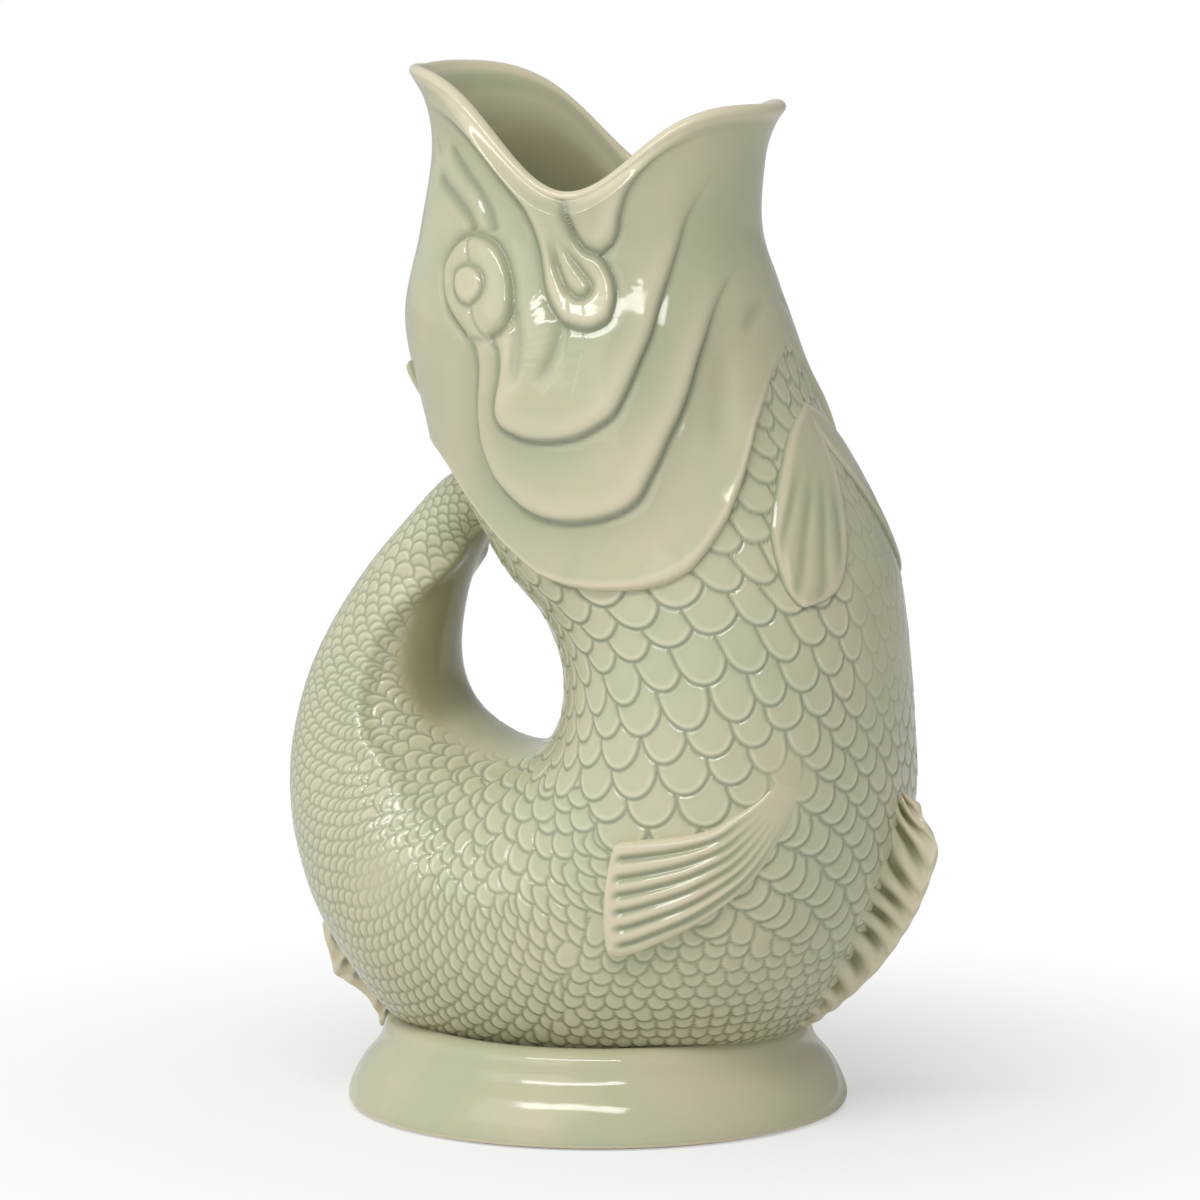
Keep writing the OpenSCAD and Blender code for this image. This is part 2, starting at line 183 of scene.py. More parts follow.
def glazed_sheet(name, points, normals, marks, wrap):
    """A grid laid over rows of points, in millimetres, each row running round to the right."""
    marks = {k: np.broadcast_to(g, points.shape[:2]) for k, g in marks.items()}
    if wrap:
        points, normals = (np.concatenate([g, g[:, :1]], 1) for g in (points, normals))
        marks = {k: np.concatenate([g, g[:, :1]], 1) for k, g in marks.items()}
    rows, columns = points.shape[:2]
    bm = bmesh.new()
    bm.loops.layers.uv.new("OFBake")
    bmesh.ops.create_grid(
        bm, x_segments=columns - 1, y_segments=rows - 1, size=0.5, calc_uvs=True
    )
    mesh = add_mesh(name, bm)
    spots = np.empty(rows * columns * 3, np.float32)
    mesh.vertices.foreach_get("co", spots)
    spots = spots.reshape(-1, 3)
    column = np.rint((spots[:, 0] + 0.5) * (columns - 1)).astype(int)
    row = np.rint((spots[:, 1] + 0.5) * (rows - 1)).astype(int)
    mesh.vertices.foreach_set("co", (points[row, column] * MM).ravel())
    for mark, grid in marks.items():
        layer = mesh.attributes.new(mark, "FLOAT", "POINT")
        layer.data.foreach_set("value", grid[row, column].astype(np.float32))
    layer = mesh.attributes.new("facing", "FLOAT_VECTOR", "POINT")
    layer.data.foreach_set("vector", normals[row, column].astype(np.float32).ravel())
    if wrap:
        bm = bmesh.new()
        bm.from_mesh(mesh)
        bm.verts.ensure_lookup_table()
        first = {r: v for v, c, r in zip(bm.verts, column, row) if c == 0}
        last = {v: first[r] for v, c, r in zip(bm.verts, column, row) if c == columns - 1}
        bmesh.ops.weld_verts(bm, targetmap=last)
        bm.to_mesh(mesh)
        bm.free()
    facing = np.empty(len(mesh.vertices) * 3, np.float32)
    mesh.attributes["facing"].data.foreach_get("vector", facing)
    mesh.attributes.remove(mesh.attributes["facing"])
    mesh.shade_smooth()
    mesh.normals_split_custom_set_from_vertices(facing.reshape(-1, 3).tolist())
    return add_object(name, mesh)


LINE_MARGIN = 26


def line_field(points, line):
    """Distance of the points to a line, and the share of its length where they are nearest."""
    away = np.full(len(points), 1e3)
    share = np.zeros(len(points))
    inside = (points > line.min(0) - LINE_MARGIN) & (points < line.max(0) + LINE_MARGIN)
    chosen = np.flatnonzero(inside.all(1))
    v = points[chosen]
    best = np.full(len(v), 1e6)
    for k, (a, b) in enumerate(zip(line, line[1:])):
        step = b - a
        f = np.clip((v - a) @ step / max(step @ step, 1e-9), 0, 1)
        off = v - a - f[:, None] * step
        gap = np.einsum("ij,ij->i", off, off)
        closer = np.flatnonzero(gap < best)
        best[closer] = gap[closer]
        share[chosen[closer]] = (k + f[closer]) / (len(line) - 1)
    away[chosen] = np.sqrt(best)
    return away, share


# Station of the gill cover's free edge at each turn, where the scales come out from under it
GILL_EDGE = [
    (0, 5.45), (22, 5.5), (34, 5.62), (39, 5.78), (44, 6.18), (52, 6.58), (63, 7.0), (72, 7.12),
    (79, 7.15), (88, 7.14), (95, 7.1), (103, 7.0), (111, 6.83), (120, 6.53), (128, 6.24),
    (138, 5.79), (150, 5.23), (165, 4.66), (180, 4.3),
]
ROUND_COLUMNS = 600
RING_CUTS = [10.4, 13.2, 15.6, 18.0, 20.7, 24.45]
RING_ROWS = [150, 130, 130, 130, 120, 150]
turns = np.arange(ROUND_COLUMNS) * 360 / ROUND_COLUMNS
UNDER_GILL = 0.25
top = table(GILL_EDGE, fold_turn(turns)) - UNDER_GILL
grids = []
for k, cut in enumerate(RING_CUTS):
    share = np.linspace(0, 1, RING_ROWS[k] + 1)[:, None]
    start = top[None, :] if k == 0 else np.full((1, ROUND_COLUMNS), RING_CUTS[k - 1])
    grids.append(start + (cut - start) * share)
stations = np.concatenate([g if k == 0 else g[1:] for k, g in enumerate(grids)], 0)
turn_grid = np.broadcast_to(turns, stations.shape)
base = skin(stations, turn_grid)
base_normal = skin_ways(stations, turn_grid)[2]

# Places of the scales, from the tail's end back up to the gills, so that each overlaps the next
scales = []


def lay_scale(s, turn, width, pitch, lean=0.0, straight=0.0, root=1.7):
    scales.append((s, turn, width, pitch, lean, straight, root))
    if 0 < turn < 180:
        scales.append((s, 360 - turn, width, pitch, -lean, straight, root))


def span(a, b):
    return float(np.linalg.norm(skin(*a) - skin(*b)))


def run_along(line):
    """Length of a line, or of each column of a grid, up to each of its points."""
    paces = np.linalg.norm(np.diff(line, axis=0), axis=-1)
    return np.concatenate([np.zeros((1, *paces.shape[1:])), np.cumsum(paces, 0)], 0)


def falling(s, turn):
    """The lean that turns a scale's round end straight down."""
    along, around, out = skin_ways(s, turn)
    down = out * out[2] - (0, 0, 1)
    return math.atan2(down @ np.cross(out, along), down @ along)


# Bands round the tail and bowl: first and last station, scales in half a round, last turn, step
BANDS = [
    (24.4, 22.0, 9, 180, 0.20),
    (22.0, 20.2, 13, 180, 0.17),
    (20.2, 18.2, 17, 180, 0.15),
    (18.2, 16.7, 21, 180, 0.13),
    (16.7, 15.1, 25, 168, 0.115),
    (15.1, 13.6, 19, 142, 0.125),
    (13.6, 11.0, 15, 140, 0.15),
]
TRUNK_END = [
    (0, 11.2), (38, 11.6), (50, 11.4), (66, 11.5), (83, 11.75), (93, 12.15), (102, 12.35),
    (106, 12.3), (115, 12.2), (127, 12.12), (145, 12.05), (180, 12.05),
]
FRONT_END = [(0, 0), (100, 0), (101, 13.0), (114, 13.45), (130, 13.86), (133, 14.4), (180, 14.4)]
MOST_BAND_LEAN, LEAN_END, BAND_CROWD, BAND_ASPECT = 0.5, 16, 1.3, 0.42


def front_start(s, turn):
    return table(FRONT_END, turn + 4 * math.sin(9 * s))


for first, last, count, most, step in BANDS:
    for j in range(round((first - last) / step)):
        s = first - j * step
        for i in range(2 * count + 1):
            share = 1 - np.clip((i + np.array([-1, 0, 1])) / (2 * count), -0.1, 1)
            left, turn, right = most * (1 - share**BAND_CROWD)
            wide = span((s, left), (s, right)) * (2 if i == 2 * count else 1)
            deep = span((s - step / 2, turn), (s + step / 2, turn))
            skip = max(1, round(BAND_ASPECT * wide / deep))
            if j % skip or (i + j // skip) % 2:
                continue
            if s < table(TRUNK_END, turn) - 0.3 or s < front_start(s, turn - 10) - 0.2:
                continue
            lean = min(falling(s, turn), MOST_BAND_LEAN) * float(ramp(60, 105, turn))
            lay_scale(s, turn, wide, deep * skip, lean if s < LEAN_END else 0)

# Rows of small scales on the front of the bowl, level with the foot and smaller towards it
FRONT_LOW, FRONT_HIGH, FRONT_STRAIGHT, FRONT_LAP = 18.5, 51.0, 0.3, 1.2
FRONT_STEP = [(18, 2.4), (30, 2.9), (45, 3.5)]
FRONT_WIDE = [(18, 3.4), (30, 4.4), (45, 5.5)]
rows = (stations[:, 0] > 11.5) & (stations[:, 0] < 14.6)
columns = np.flatnonzero((turns > 88) & (turns <= 180))
front_s, front_z = stations[rows, 0], base[rows][:, columns, 2]
levels = [FRONT_LOW]
while levels[-1] < FRONT_HIGH:
    levels.append(levels[-1] + table(FRONT_STEP, levels[-1]))
for j, level in enumerate(levels):
    step, wide = table(FRONT_STEP, level), table(FRONT_WIDE, level)
    kept = np.flatnonzero((front_z.min(0) < level) & (level < front_z.max(0)))
    line_s = np.array([np.interp(-level, -front_z[:, k], front_s) for k in kept])
    line_turn = turns[columns[kept]]
    along = run_along(skin(line_s, line_turn))
    for place in np.arange(0.5 * wide if j % 2 else 0, along[-1], wide):
        s, turn = (float(np.interp(place, along, g)) for g in (line_s, line_turn))
        if s < table(TRUNK_END, turn) or s > front_start(s, turn + 9) + 0.2:
            continue
        lean = MOST_BAND_LEAN + (falling(s, turn) - MOST_BAND_LEAN) * float(ramp(102, 126, turn))
        straight = FRONT_STRAIGHT * float(ramp(102, 120, turn))
        root = 1.05 - 0.55 * float(ramp(-0.05, 0.12, s - front_start(s, turn)))
        lay_scale(s, turn, wide, step * FRONT_LAP, lean, straight, root)

# Large scales of the trunk, in columns that are widest on the flank and rows that rise to the front
TRUNK_COLUMNS = [0, 9, 18, 27, 36, 45, 54, 66, 81, 97, 112, 124, 135, 146, 156, 165, 173, 180]
TRUNK_LINE = [(0, 10.7), (40, 10.1), (81.5, 9.33), (143.5, 8.26), (180, 7.75)]
TRUNK_PITCH = [
    (0, 4.6), (40, 5.8), (70, 7.2), (90, 8.2), (110, 8.9), (130, 8.8), (150, 7.4), (180, 6.2),
]
TRUNK_SHRINK = [(0, 1), (60, 0.99), (82, 0.95), (105, 0.93), (125, 0.9), (180, 0.9)]
TRUNK_LEAST, TRUNK_LEAN = 5.0, 0.2
TRUNK_STRAIGHT = [(0, 0), (75, 0), (96, 0.08), (112, 0.3), (138, 0.38), (155, 0.1), (180, 0)]
fine_s = np.linspace(2.5, 13.6, 445)
for j in range(14, -12, -1):
    for i in range(j % 2, 2 * len(TRUNK_COLUMNS) - 1, 2):
        place = np.interp([i / 2 - 0.5, i / 2, i / 2 + 0.5], range(len(TRUNK_COLUMNS)), TRUNK_COLUMNS)
        turn = float(place[1])
        pitch = table(TRUNK_PITCH, turn)
        steps = np.maximum(pitch * table(TRUNK_SHRINK, turn) ** np.arange(15), TRUNK_LEAST)
        run, deep = (steps[:j].sum(), steps[j]) if j >= 0 else (pitch * j, pitch)
        length = run_along(skin(fine_s, turn))
        start = np.interp(table(TRUNK_LINE, turn), fine_s, length)
        s = float(np.interp(start + run, length, fine_s, 0, 99))
        if s > table(TRUNK_END, turn) or s < table(GILL_EDGE, turn) - 0.8:
            continue
        wide = span((s, place[0]), (s, place[2])) * (2 if turn in (0, 180) else 1)
        straight = table(TRUNK_STRAIGHT, turn) * float(ramp(5.4, 8, deep))
        lay_scale(s, turn, wide, deep, TRUNK_LEAN if 0 < turn < 180 else 0, straight)

# Each scale is cut into the skin: raised to its tip, with a rolled edge and a groove round it
LEAN_SPREAD, SIDE_SPREAD, ALONG_SPREAD, WIDE_SPREAD, DEEP_SPREAD = 0.08, 0.035, 0.05, 0.04, 0.06
HALF_WIDE, DEEP_LAP = 0.54, 1.02
GROOVE_LEAST, GROOVE_GROWTH = 0.28, 0.019
TIP_RISE, ROLL_RISE, CROWN_RISE = 0.42, 0.2, 0.12
EDGE_SHADOW_REACH, EDGE_SHADOW_FADE = 6, 2.2
SAME_LIMB = 3
spot_tree = KDTree(base.shape[0] * base.shape[1])
for k, spot in enumerate(base.reshape(-1, 3).tolist()):
    spot_tree.insert(spot, k)
spot_tree.balance()
flat, flat_s = base.reshape(-1, 3), stations.ravel()
swell = np.zeros(len(flat))
groove = np.zeros(len(flat))
ridge = np.zeros(len(flat))
edge_pool_and_shadow = np.zeros(len(flat))
size = np.full(len(flat), 4.0)
chance = np.random.default_rng(7)
for s, turn, width, pitch, lean, straight, root in scales:
    middle = skin(s, turn)
    along, around, out = skin_ways(s, turn)
    lean += chance.normal(0, LEAN_SPREAD)
    way = along * math.cos(lean) + np.cross(out, along) * math.sin(lean)
    side = np.cross(out, way)
    middle = middle + side * chance.normal(0, SIDE_SPREAD * width)
    middle = middle + way * chance.normal(0, ALONG_SPREAD * pitch)
    half = HALF_WIDE * width * chance.normal(1, WIDE_SPREAD)
    deep = pitch * chance.normal(DEEP_LAP, DEEP_SPREAD)
    root = root * pitch
    fine = GROOVE_LEAST + GROOVE_GROWTH * width
    reach = max(half, deep, root) * 1.15 + EDGE_SHADOW_REACH * fine
    near = np.fromiter((k for _, k, _ in spot_tree.find_range(middle, reach)), int)
    near = near[np.abs(flat_s[near] - s) < SAME_LIMB]
    off = flat[near] - middle
    a, b = off @ way, off @ side
    bow = deep - straight * pitch
    down, across = np.maximum(a - straight * pitch, 0) / bow, b / half
    oval = np.maximum(np.hypot(down, across), 1e-6)
    slope = np.hypot(down / bow, across / half) / oval
    edge = (1 - oval) / np.maximum(slope, 1e-6)
    own = (oval < 1) & (a > -root)
    inside = near[own]
    d = edge[own]
    tip = np.clip((a[own] + root) / (deep + root), 0, 1)
    roll = bell((d - 1.9 * fine) / (1.2 * fine))
    swell[inside] = TIP_RISE * tip + ROLL_RISE * roll + CROWN_RISE * np.minimum(d / half, 1)
    groove[inside] = bell(d / fine)
    ridge[inside] = roll * ramp(-0.3 * deep, 0.5 * deep, a[own])
    size[inside] = width
    edge_pool_and_shadow[inside] = 0
    # Below each scale's edge, on the scale it overlaps: its groove, and pooled glaze with a painted
    # shadow
    ring = (oval >= 1) & (edge > -EDGE_SHADOW_REACH * fine) & (a > -0.25 * deep)
    outside, edge = near[ring], edge[ring]
    groove[outside] = np.maximum(groove[outside], bell(edge / fine))
    edge_pool_and_shadow[outside] = np.maximum(edge_pool_and_shadow[outside], np.exp(edge / (EDGE_SHADOW_FADE * fine)))

# The scales fade out on the side of the tail that faces the hand hole
BARE_TURN = [
    (0, 8), (10, 12), (12, 14), (15, 10), (17, 12), (18, 18), (19, 26), (20, 36), (21, 44), (22, 40),
    (23, 24), (24, 8),
]
FULL_TURN = [
    (0, 22), (10, 28), (12, 28), (15, 24), (17, 26), (18, 34), (19, 46), (20, 58), (21, 66), (22, 62),
    (23, 44), (24, 26),
]
folded = fold_turn(turn_grid)
shown = ramp(table(BARE_TURN, stations), table(FULL_TURN, stations), folded)
# On the tail's side that faces the hand hole the glaze pools and takes a painted shade
hollow_side = (1 - shown) * ramp(16.8, 19, stations)
# Smooth spots: a worn one below the tail, and one where the side fin's root runs out
SMOOTH_SPOTS = [(16.25, 82, 7.5, 0.7), (10.5, 131.5, 5.5, 1.0)]
near_side = base * (1, 0, 1) - (0, 1, 0) * np.abs(base)
for s, turn, reach, amount in SMOOTH_SPOTS:
    gap = np.linalg.norm(near_side - skin(s, turn), axis=-1)
    shown = shown * (1 - amount * bell(gap / reach))
SMOOTH_THROAT = [(5.5, 0), (6.5, 0.65), (9.2, 0.65), (10.2, 0)]
shown = shown * (1 - table(SMOOTH_THROAT, stations) * ramp(152, 166, folded))
# A rounded ridge runs down each side of the tail and out over the bowl's shoulder
TAIL_RIDGE = [
    (14.2, 58), (15.3, 54), (16.6, 53.5), (17.3, 54), (18, 59), (18.6, 67), (19.4, 74), (20, 75.5),
    (20.7, 77), (21.1, 78), (21.55, 73), (21.9, 62), (22.3, 48), (22.7, 36), (23.4, 30),
]
RIDGE_RISE, RIDGE_REACH = 1.7, 2.8
tail_rows = slice(np.argmax(stations[:, 0] > 13.5), None)
ridge_line = skin(*np.array(TAIL_RIDGE).T)
ridge_gap, ridge_share = line_field(near_side[tail_rows].reshape(-1, 3), ridge_line)
ridge_near = bell(ridge_gap / RIDGE_REACH) * ramp(0, 0.35, ridge_share) * ramp(1, 0.9, ridge_share)
lift = np.zeros(stations.shape)
lift[tail_rows] = ridge_near.reshape(lift[tail_rows].shape)
# The glaze fills the fine relief of the tail more than that of the trunk
RELIEF = [(5, 0.9), (11, 0.85), (14, 0.8), (16, 0.6), (18, 0.5), (25, 0.5)]
RELIEF_LEAST, RELIEF_GROWTH, RIDGE_SMOOTH, TUCK = 0.08, 0.042, 0.6, 0.5
swell, groove, ridge, edge_pool_and_shadow, size = (
    g.reshape(stations.shape) for g in (swell, groove, ridge, edge_pool_and_shadow, size)
)
relief = (RELIEF_LEAST + RELIEF_GROWTH * size) * table(RELIEF, stations) * (swell - 0.3 - groove)
relief = relief * shown * (1 - RIDGE_SMOOTH * lift) + RIDGE_RISE * lift
tucked = ramp(0.22, 0.0, stations - top[None, :])
skin_points = base + base_normal * (relief - TUCK * tucked)[..., None]
skin_facing = -sheet_normals(skin_points, True)
# Marks for the glaze: pooled lines with a painted shadow below each scale's edge, pale rims, and
# painted shade that turns it olive towards the foot and inside the tail
FOOT_SHADE = [(18, 1), (24, 0.95), (32, 0.75), (44, 0.5), (58, 0.25), (72, 0)]
POOLED = [(5, 0.9), (11, 0.9), (14, 0.75), (20, 0.75), (25, 0.85)]
EDGE_SHADOW_SHARE, FOOT_POOL_AND_SHADE, HOLLOW_POOL_AND_SHADE, FACE_PALE, FOOT_FACE_SHADE = 0.42, 1.3, 0.42, 0.3, 0.3
foot = table(FOOT_SHADE, base[..., 2])
lines = np.maximum(groove, EDGE_SHADOW_SHARE * edge_pool_and_shadow) * shown
lines = lines * np.maximum(table(POOLED, stations), FOOT_POOL_AND_SHADE * foot)
skin_marks = {
    "pool_and_shade": np.maximum(lines, HOLLOW_POOL_AND_SHADE * hollow_side),
    "rim": (FACE_PALE + (1 - FACE_PALE) * ridge) * shown,
    "painted_shade": np.maximum(FOOT_FACE_SHADE * foot, hollow_side),
}


def feed(tree, node, values):
    """Sets a node's inputs to plain values, or links them where a value is a socket."""
    for key, value in values.items():
        if isinstance(value, bpy.types.NodeSocket):
            tree.links.new(value, node.inputs[key])
        else:
            node.inputs[key].default_value = value
    return node


def add_node(tree, kind, values, **settings):
    node = tree.nodes.new("ShaderNode" + kind)
    for name, value in settings.items():
        setattr(node, name, value)
    return feed(tree, node, values)


def add_material(name):
    material = bpy.data.materials.new(name)
    material.use_nodes = True
    return material, material.node_tree, material.node_tree.nodes["Principled BSDF"]


def coordinates(tree, kind):
    return add_node(tree, "TexCoord", {}).outputs[kind]


def mottle(tree, scale, detail):
    values = {"Vector": coordinates(tree, "Object"), "Scale": scale, "Detail": detail}
    return add_node(tree, "TexNoise", values).outputs["Fac"]


def mixed(tree, amount, first, second):
    return add_node(tree, "Mix", {0: amount, 6: first, 7: second}, data_type="RGBA").outputs[2]


def stretched(tree, value, low, high, least, most, course="LINEAR"):
    values = {"Value": value, "From Min": low, "From Max": high, "To Min": least, "To Max": most}
    return add_node(tree, "MapRange", values, interpolation_type=course).outputs["Result"]


def camera_rays(tree):
    return add_node(tree, "LightPath", {}).outputs["Is Camera Ray"]


def show_either(tree, amount, first, second, output):
    either = add_node(tree, "MixShader", {0: amount, 1: first.outputs[0], 2: second.outputs[0]})
    feed(tree, tree.nodes[output], {"Surface": either.outputs[0]})


# Celadon glaze over the whole jug: a clear green glass, dipped on and fired, a little rippled.
# It is thin and creamy on the ridges and grey-green where it pools; painted shade turns it olive in
# the deep hollows, with darker pooled lines.
def celadon():
    glaze, tree, shader = add_material("celadon_glaze")

    def mark(name):
        return add_node(tree, "Attribute", {}, attribute_name=name).outputs["Fac"]

    def tinted(name, low, high, most, first, second):
        return mixed(tree, stretched(tree, mark(name), low, high, 0, most), first, second)

    green = (0.485, 0.50, 0.33, 1)
    sand = (0.565, 0.53, 0.365, 1)
    pale = (0.68, 0.67, 0.49, 1)
    cream = (0.73, 0.655, 0.485, 1)
    pooled = (0.245, 0.278, 0.185, 1)
    painted_shade_olive = (0.40, 0.375, 0.23, 1)
    painted_shade_dark = (0.185, 0.18, 0.085, 1)
    colour = mixed(tree, stretched(tree, mottle(tree, 34, 3), 0.35, 0.65, 0, 1), green, sand)
    colour = tinted("rim", 0.1, 1, 0.7, colour, pale)
    colour = tinted("crest", 0.1, 1, 0.7, colour, cream)
    # Painted shade turns the faces olive and the pooled lines dark
    colour = mixed(tree, mark("painted_shade"), colour, painted_shade_olive)
    deep = tinted("painted_shade", 0, 0.3, 1, pooled, painted_shade_dark)
    colour = tinted("pool_and_shade", 0.05, 0.95, 0.85, colour, deep)
    rough = stretched(tree, mottle(tree, 70, 4), 0.3, 0.7, 0.07, 0.13)
    ripple = {"Strength": 0.5, "Distance": 0.3 * MM, "Height": mottle(tree, 120, 2)}
    normal = add_node(tree, "Bump", ripple).outputs["Normal"]
    feed(tree, shader, {"Base Color": colour, "Roughness": rough, "IOR": 1.5, "Normal": normal})
    return glaze


celadon_glaze = celadon()


def finish_piece(piece, *nodes):
    piece.data.materials.append(celadon_glaze)
    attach(piece, "root")
    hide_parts(*nodes)


RING_NAMES = [
    "trunk_skin", "bowl_front_skin", "bowl_skin", "bowl_rear_skin", "tail_skin", "tail_end_skin",
]
first_row = 0
for name, count in zip(RING_NAMES, RING_ROWS):
    part = slice(first_row, first_row + count + 1)
    marks = {k: g[part][::-1] for k, g in skin_marks.items()}
    piece = glazed_sheet(name, skin_points[part][::-1], skin_facing[part][::-1], marks, True)
    finish_piece(piece, "tail_handle" if name.startswith("tail") else "body_shell")
    first_row += count

# Head: the cast wall from the gills up to the lips, and the lining of the hollow behind them.
# Eyes, lips and cheek plates are carved in the model, so they are one skin with fine sunk lines.
CAST_STEP, CAST_TURN = 0.1, 2
cast_s, cast_turn = np.meshgrid(
    np.arange(-0.4, 18.21, CAST_STEP), np.arange(-30, 200.1, CAST_TURN), indexing="ij"
)
cast_corner = np.arange(cast_s.size).reshape(cast_s.shape)
cast_quads = np.stack(
    [cast_corner[:-1, :-1], cast_corner[1:, :-1], cast_corner[1:, 1:], cast_corner[:-1, 1:]], -1
)
skin_tree = BVHTree.FromPolygons(
    skin(cast_s, cast_turn).reshape(-1, 3).tolist(), cast_quads.reshape(-1, 4).tolist()
)


def sight_line(x, y):
    return (sight @ Vector((x - AIM_PX[0], AIM_PX[1] - y, -FOCAL_PX))).normalized()


def skin_places(points):
    """Station and turn of the skin nearest each point."""
    flat = points.reshape(-1, 3)
    faces = np.array([skin_tree.find_nearest(p)[2] for p in flat.tolist()])
    row, column = np.divmod(faces, cast_s.shape[1] - 1)
    s, turn = cast_s[row, column].copy(), cast_turn[row, column].astype(float)
    for _ in range(4):
        off = flat - skin(s, turn)
        along = (skin(s + SMALL_S, turn) - skin(s - SMALL_S, turn)) / (2 * SMALL_S)
        around = skin(s, turn + SMALL_TURN) - skin(s, turn - SMALL_TURN)
        pairs = ((along, along), (around, around), (along, around))
        aa, bb, ab = ((p * q).sum(-1) for p, q in pairs)
        da, db = (off * along).sum(-1), (off * around).sum(-1)
        s = s + (da * bb - db * ab) / (aa * bb - ab * ab)
        turn = turn + (db * aa - da * ab) / (aa * bb - ab * ab)
    return s.reshape(points.shape[:-1]), turn.reshape(points.shape[:-1])


def smooth_marks(marks, steps=4):
    return curve(np.array(marks, float), np.linspace(0, len(marks) - 1, steps * (len(marks) - 1) + 1))


def traced(marks):
    """The line on the jug's skin that is seen along these marks in the photograph."""
    hits = (skin_tree.ray_cast(eye, sight_line(x, y))[0] for x, y in smooth_marks(marks))
    return np.array([hit for hit in hits if hit is not None])


HEAD_COLUMNS = 640
GILL_ROWS, PLATE_ROWS, LIP_ROWS, LINING_ROWS = 9, 222, 14, 46
GILL_ROLL = 2.1
LIP_THICK, WALL_THICK = 3.0, 4.5
LINING_END = 16.4
# Station of the rim at each turn
RIM = [(0, 0.38), (30, 0.25), (60, 0.1), (80, 0.16), (95, 0.28), (140, 0.42), (180, 0.52)]
half_turns = np.arange(HEAD_COLUMNS // 2 + 1) * 360 / HEAD_COLUMNS
gill = table(GILL_EDGE, half_turns)
gill_pace = np.linalg.norm(skin(gill, half_turns) - skin(gill - 0.1, half_turns), axis=-1) / 0.1
roll_share = 1 - np.cos(np.linspace(0, math.pi / 2, GILL_ROWS))
roll_s = gill - GILL_ROLL / gill_pace * roll_share[:, None]
rim_s = table(RIM, half_turns)
plate_s = roll_s[-1] + (rim_s - roll_s[-1]) * np.linspace(0, 1, PLATE_ROWS + 1)[1:, None]
head_s = np.concatenate([roll_s, plate_s], 0)
head_turn = np.broadcast_to(half_turns, head_s.shape)
head_base = skin(head_s, head_turn)
head_out = skin_ways(head_s, head_turn)[2]
spots = head_base.reshape(-1, 3)
height = np.zeros(len(spots))
pool_and_shade = np.zeros(len(spots))
crest = np.zeros(len(spots))
from_gill = run_along(head_base)
from_rim = (from_gill[-1] - from_gill).ravel()
gill_in = from_gill.ravel()
gill_shown = (ramp(13, 26, head_turn) * (1 - 0.75 * ramp(146, 168, head_turn))).ravel()


def rolled_edge(inset, radius):
    return np.sqrt(1 - (1 - np.clip(inset / radius, 0, 1)) ** 2)


def faded(share, start, end):
    low = ramp(0, start, share) if start else 1
    return low * (ramp(1, 1 - end, share) if end else 1)


def cut(marks, depth, wide, start=0.12, end=0.12, stain=0.85):
    away, share = line_field(spots, traced(marks))
    kept = faded(share, start, end)
    line = bell(away / wide) * kept
    height[:] -= depth * line
    pool_and_shade[:] = np.maximum(pool_and_shade, stain * np.maximum(line, 0.4 * np.exp(-away / (2.2 * wide)) * kept))


def within(outline, s, turn):
    inside = np.zeros(s.shape, bool)
    for (s0, t0), (s1, t1) in zip(outline, np.roll(outline, -1, 0)):
        crossed = (t0 > turn) != (t1 > turn)
        at = s0 + (turn - t0) * (s1 - s0) / (t1 - t0 if t1 != t0 else 1)
        inside ^= crossed & (s < at)
    return inside


GROOVE_WIDE, GROOVE_SHARE, GROOVE_FULL, EDGE_SHADOW_WIDE = 1.6, 0.3, 1.4, 4.5


def plate_edge(line, closing, rise, reach, start, end, lip=2.2, stain=0.9, edge_pool_and_shadow=0.6, thin=0.6):
    """A raised plate between a drawn line and its closing places, rounded over at the line."""
    away, share = line_field(spots, line)
    outline = np.concatenate([np.stack(skin_places(line), -1), np.reshape(closing, (-1, 2))])
    inside = within(outline, head_s.ravel(), head_turn.ravel())
    kept = faded(share, start, end)
    inner, below = np.where(inside, away, 0), np.where(inside, 99, away)
    raised = rise * faded(share, max(start, 0.16) if start else 0, end)
    height[:] += raised * rolled_edge(inner, lip) * bell(inner / reach)
    sunk = bell(np.where(inside, GROOVE_WIDE * away, away) / GROOVE_WIDE) * kept
    height[:] -= GROOVE_SHARE * min(rise, GROOVE_FULL) * sunk
    pool_and_shade[:] = np.maximum(pool_and_shade, stain * sunk)
    # Below the plate's edge: pooled glaze with a painted shadow, fading away from the line
    pool_and_shade[:] = np.maximum(pool_and_shade, edge_pool_and_shadow * np.exp(-below / EDGE_SHADOW_WIDE) * kept)
    bright = bell((inner - 0.9 * lip) / (1.1 * lip))
    crest[:] = np.maximum(crest, thin * bright * kept * inside)


# Cheek plates, one over the other, each lower edge drawn from the eye round to the chin
OUTER_PLATE = [
    (467, 339), (474, 349), (477.6, 365), (478, 384), (478, 402), (479, 420), (482, 441), (488, 459),
    (497, 478), (509.7, 494), (527, 510), (545, 519), (568, 523.6), (591, 522.5), (612, 518),
    (630, 509), (641.7, 498), (651, 480), (660, 462), (669, 441), (680, 418), (690, 390), (698, 360),
    (705.5, 337.5), (712.5, 315), (721, 295), (731, 276), (745, 259),
]
INNER_PLATE = [
    (488, 339), (496, 347), (500, 361), (500.5, 377), (499, 393), (498, 406.6), (500, 418), (505, 427),
    (513, 433), (527, 440), (545, 443), (563.6, 442), (582, 437.6), (600, 428), (614, 417), (623, 402),
    (632.5, 381), (641.7, 358), (651, 335), (660, 303), (669, 276), (680, 241), (686, 219.6),
    (697, 200), (711, 177.5), (721, 161),
]
OVER_RIM = -2
plate_edge(traced(OUTER_PLATE), [(OVER_RIM, 171), (OVER_RIM, 70)], 1.8, 19, 0.02, 0.2, lip=3.2)
plate_edge(traced(INNER_PLATE), [(OVER_RIM, 156), (OVER_RIM, 78)], 1.7, 19, 0.02, 0.3, lip=3.2)
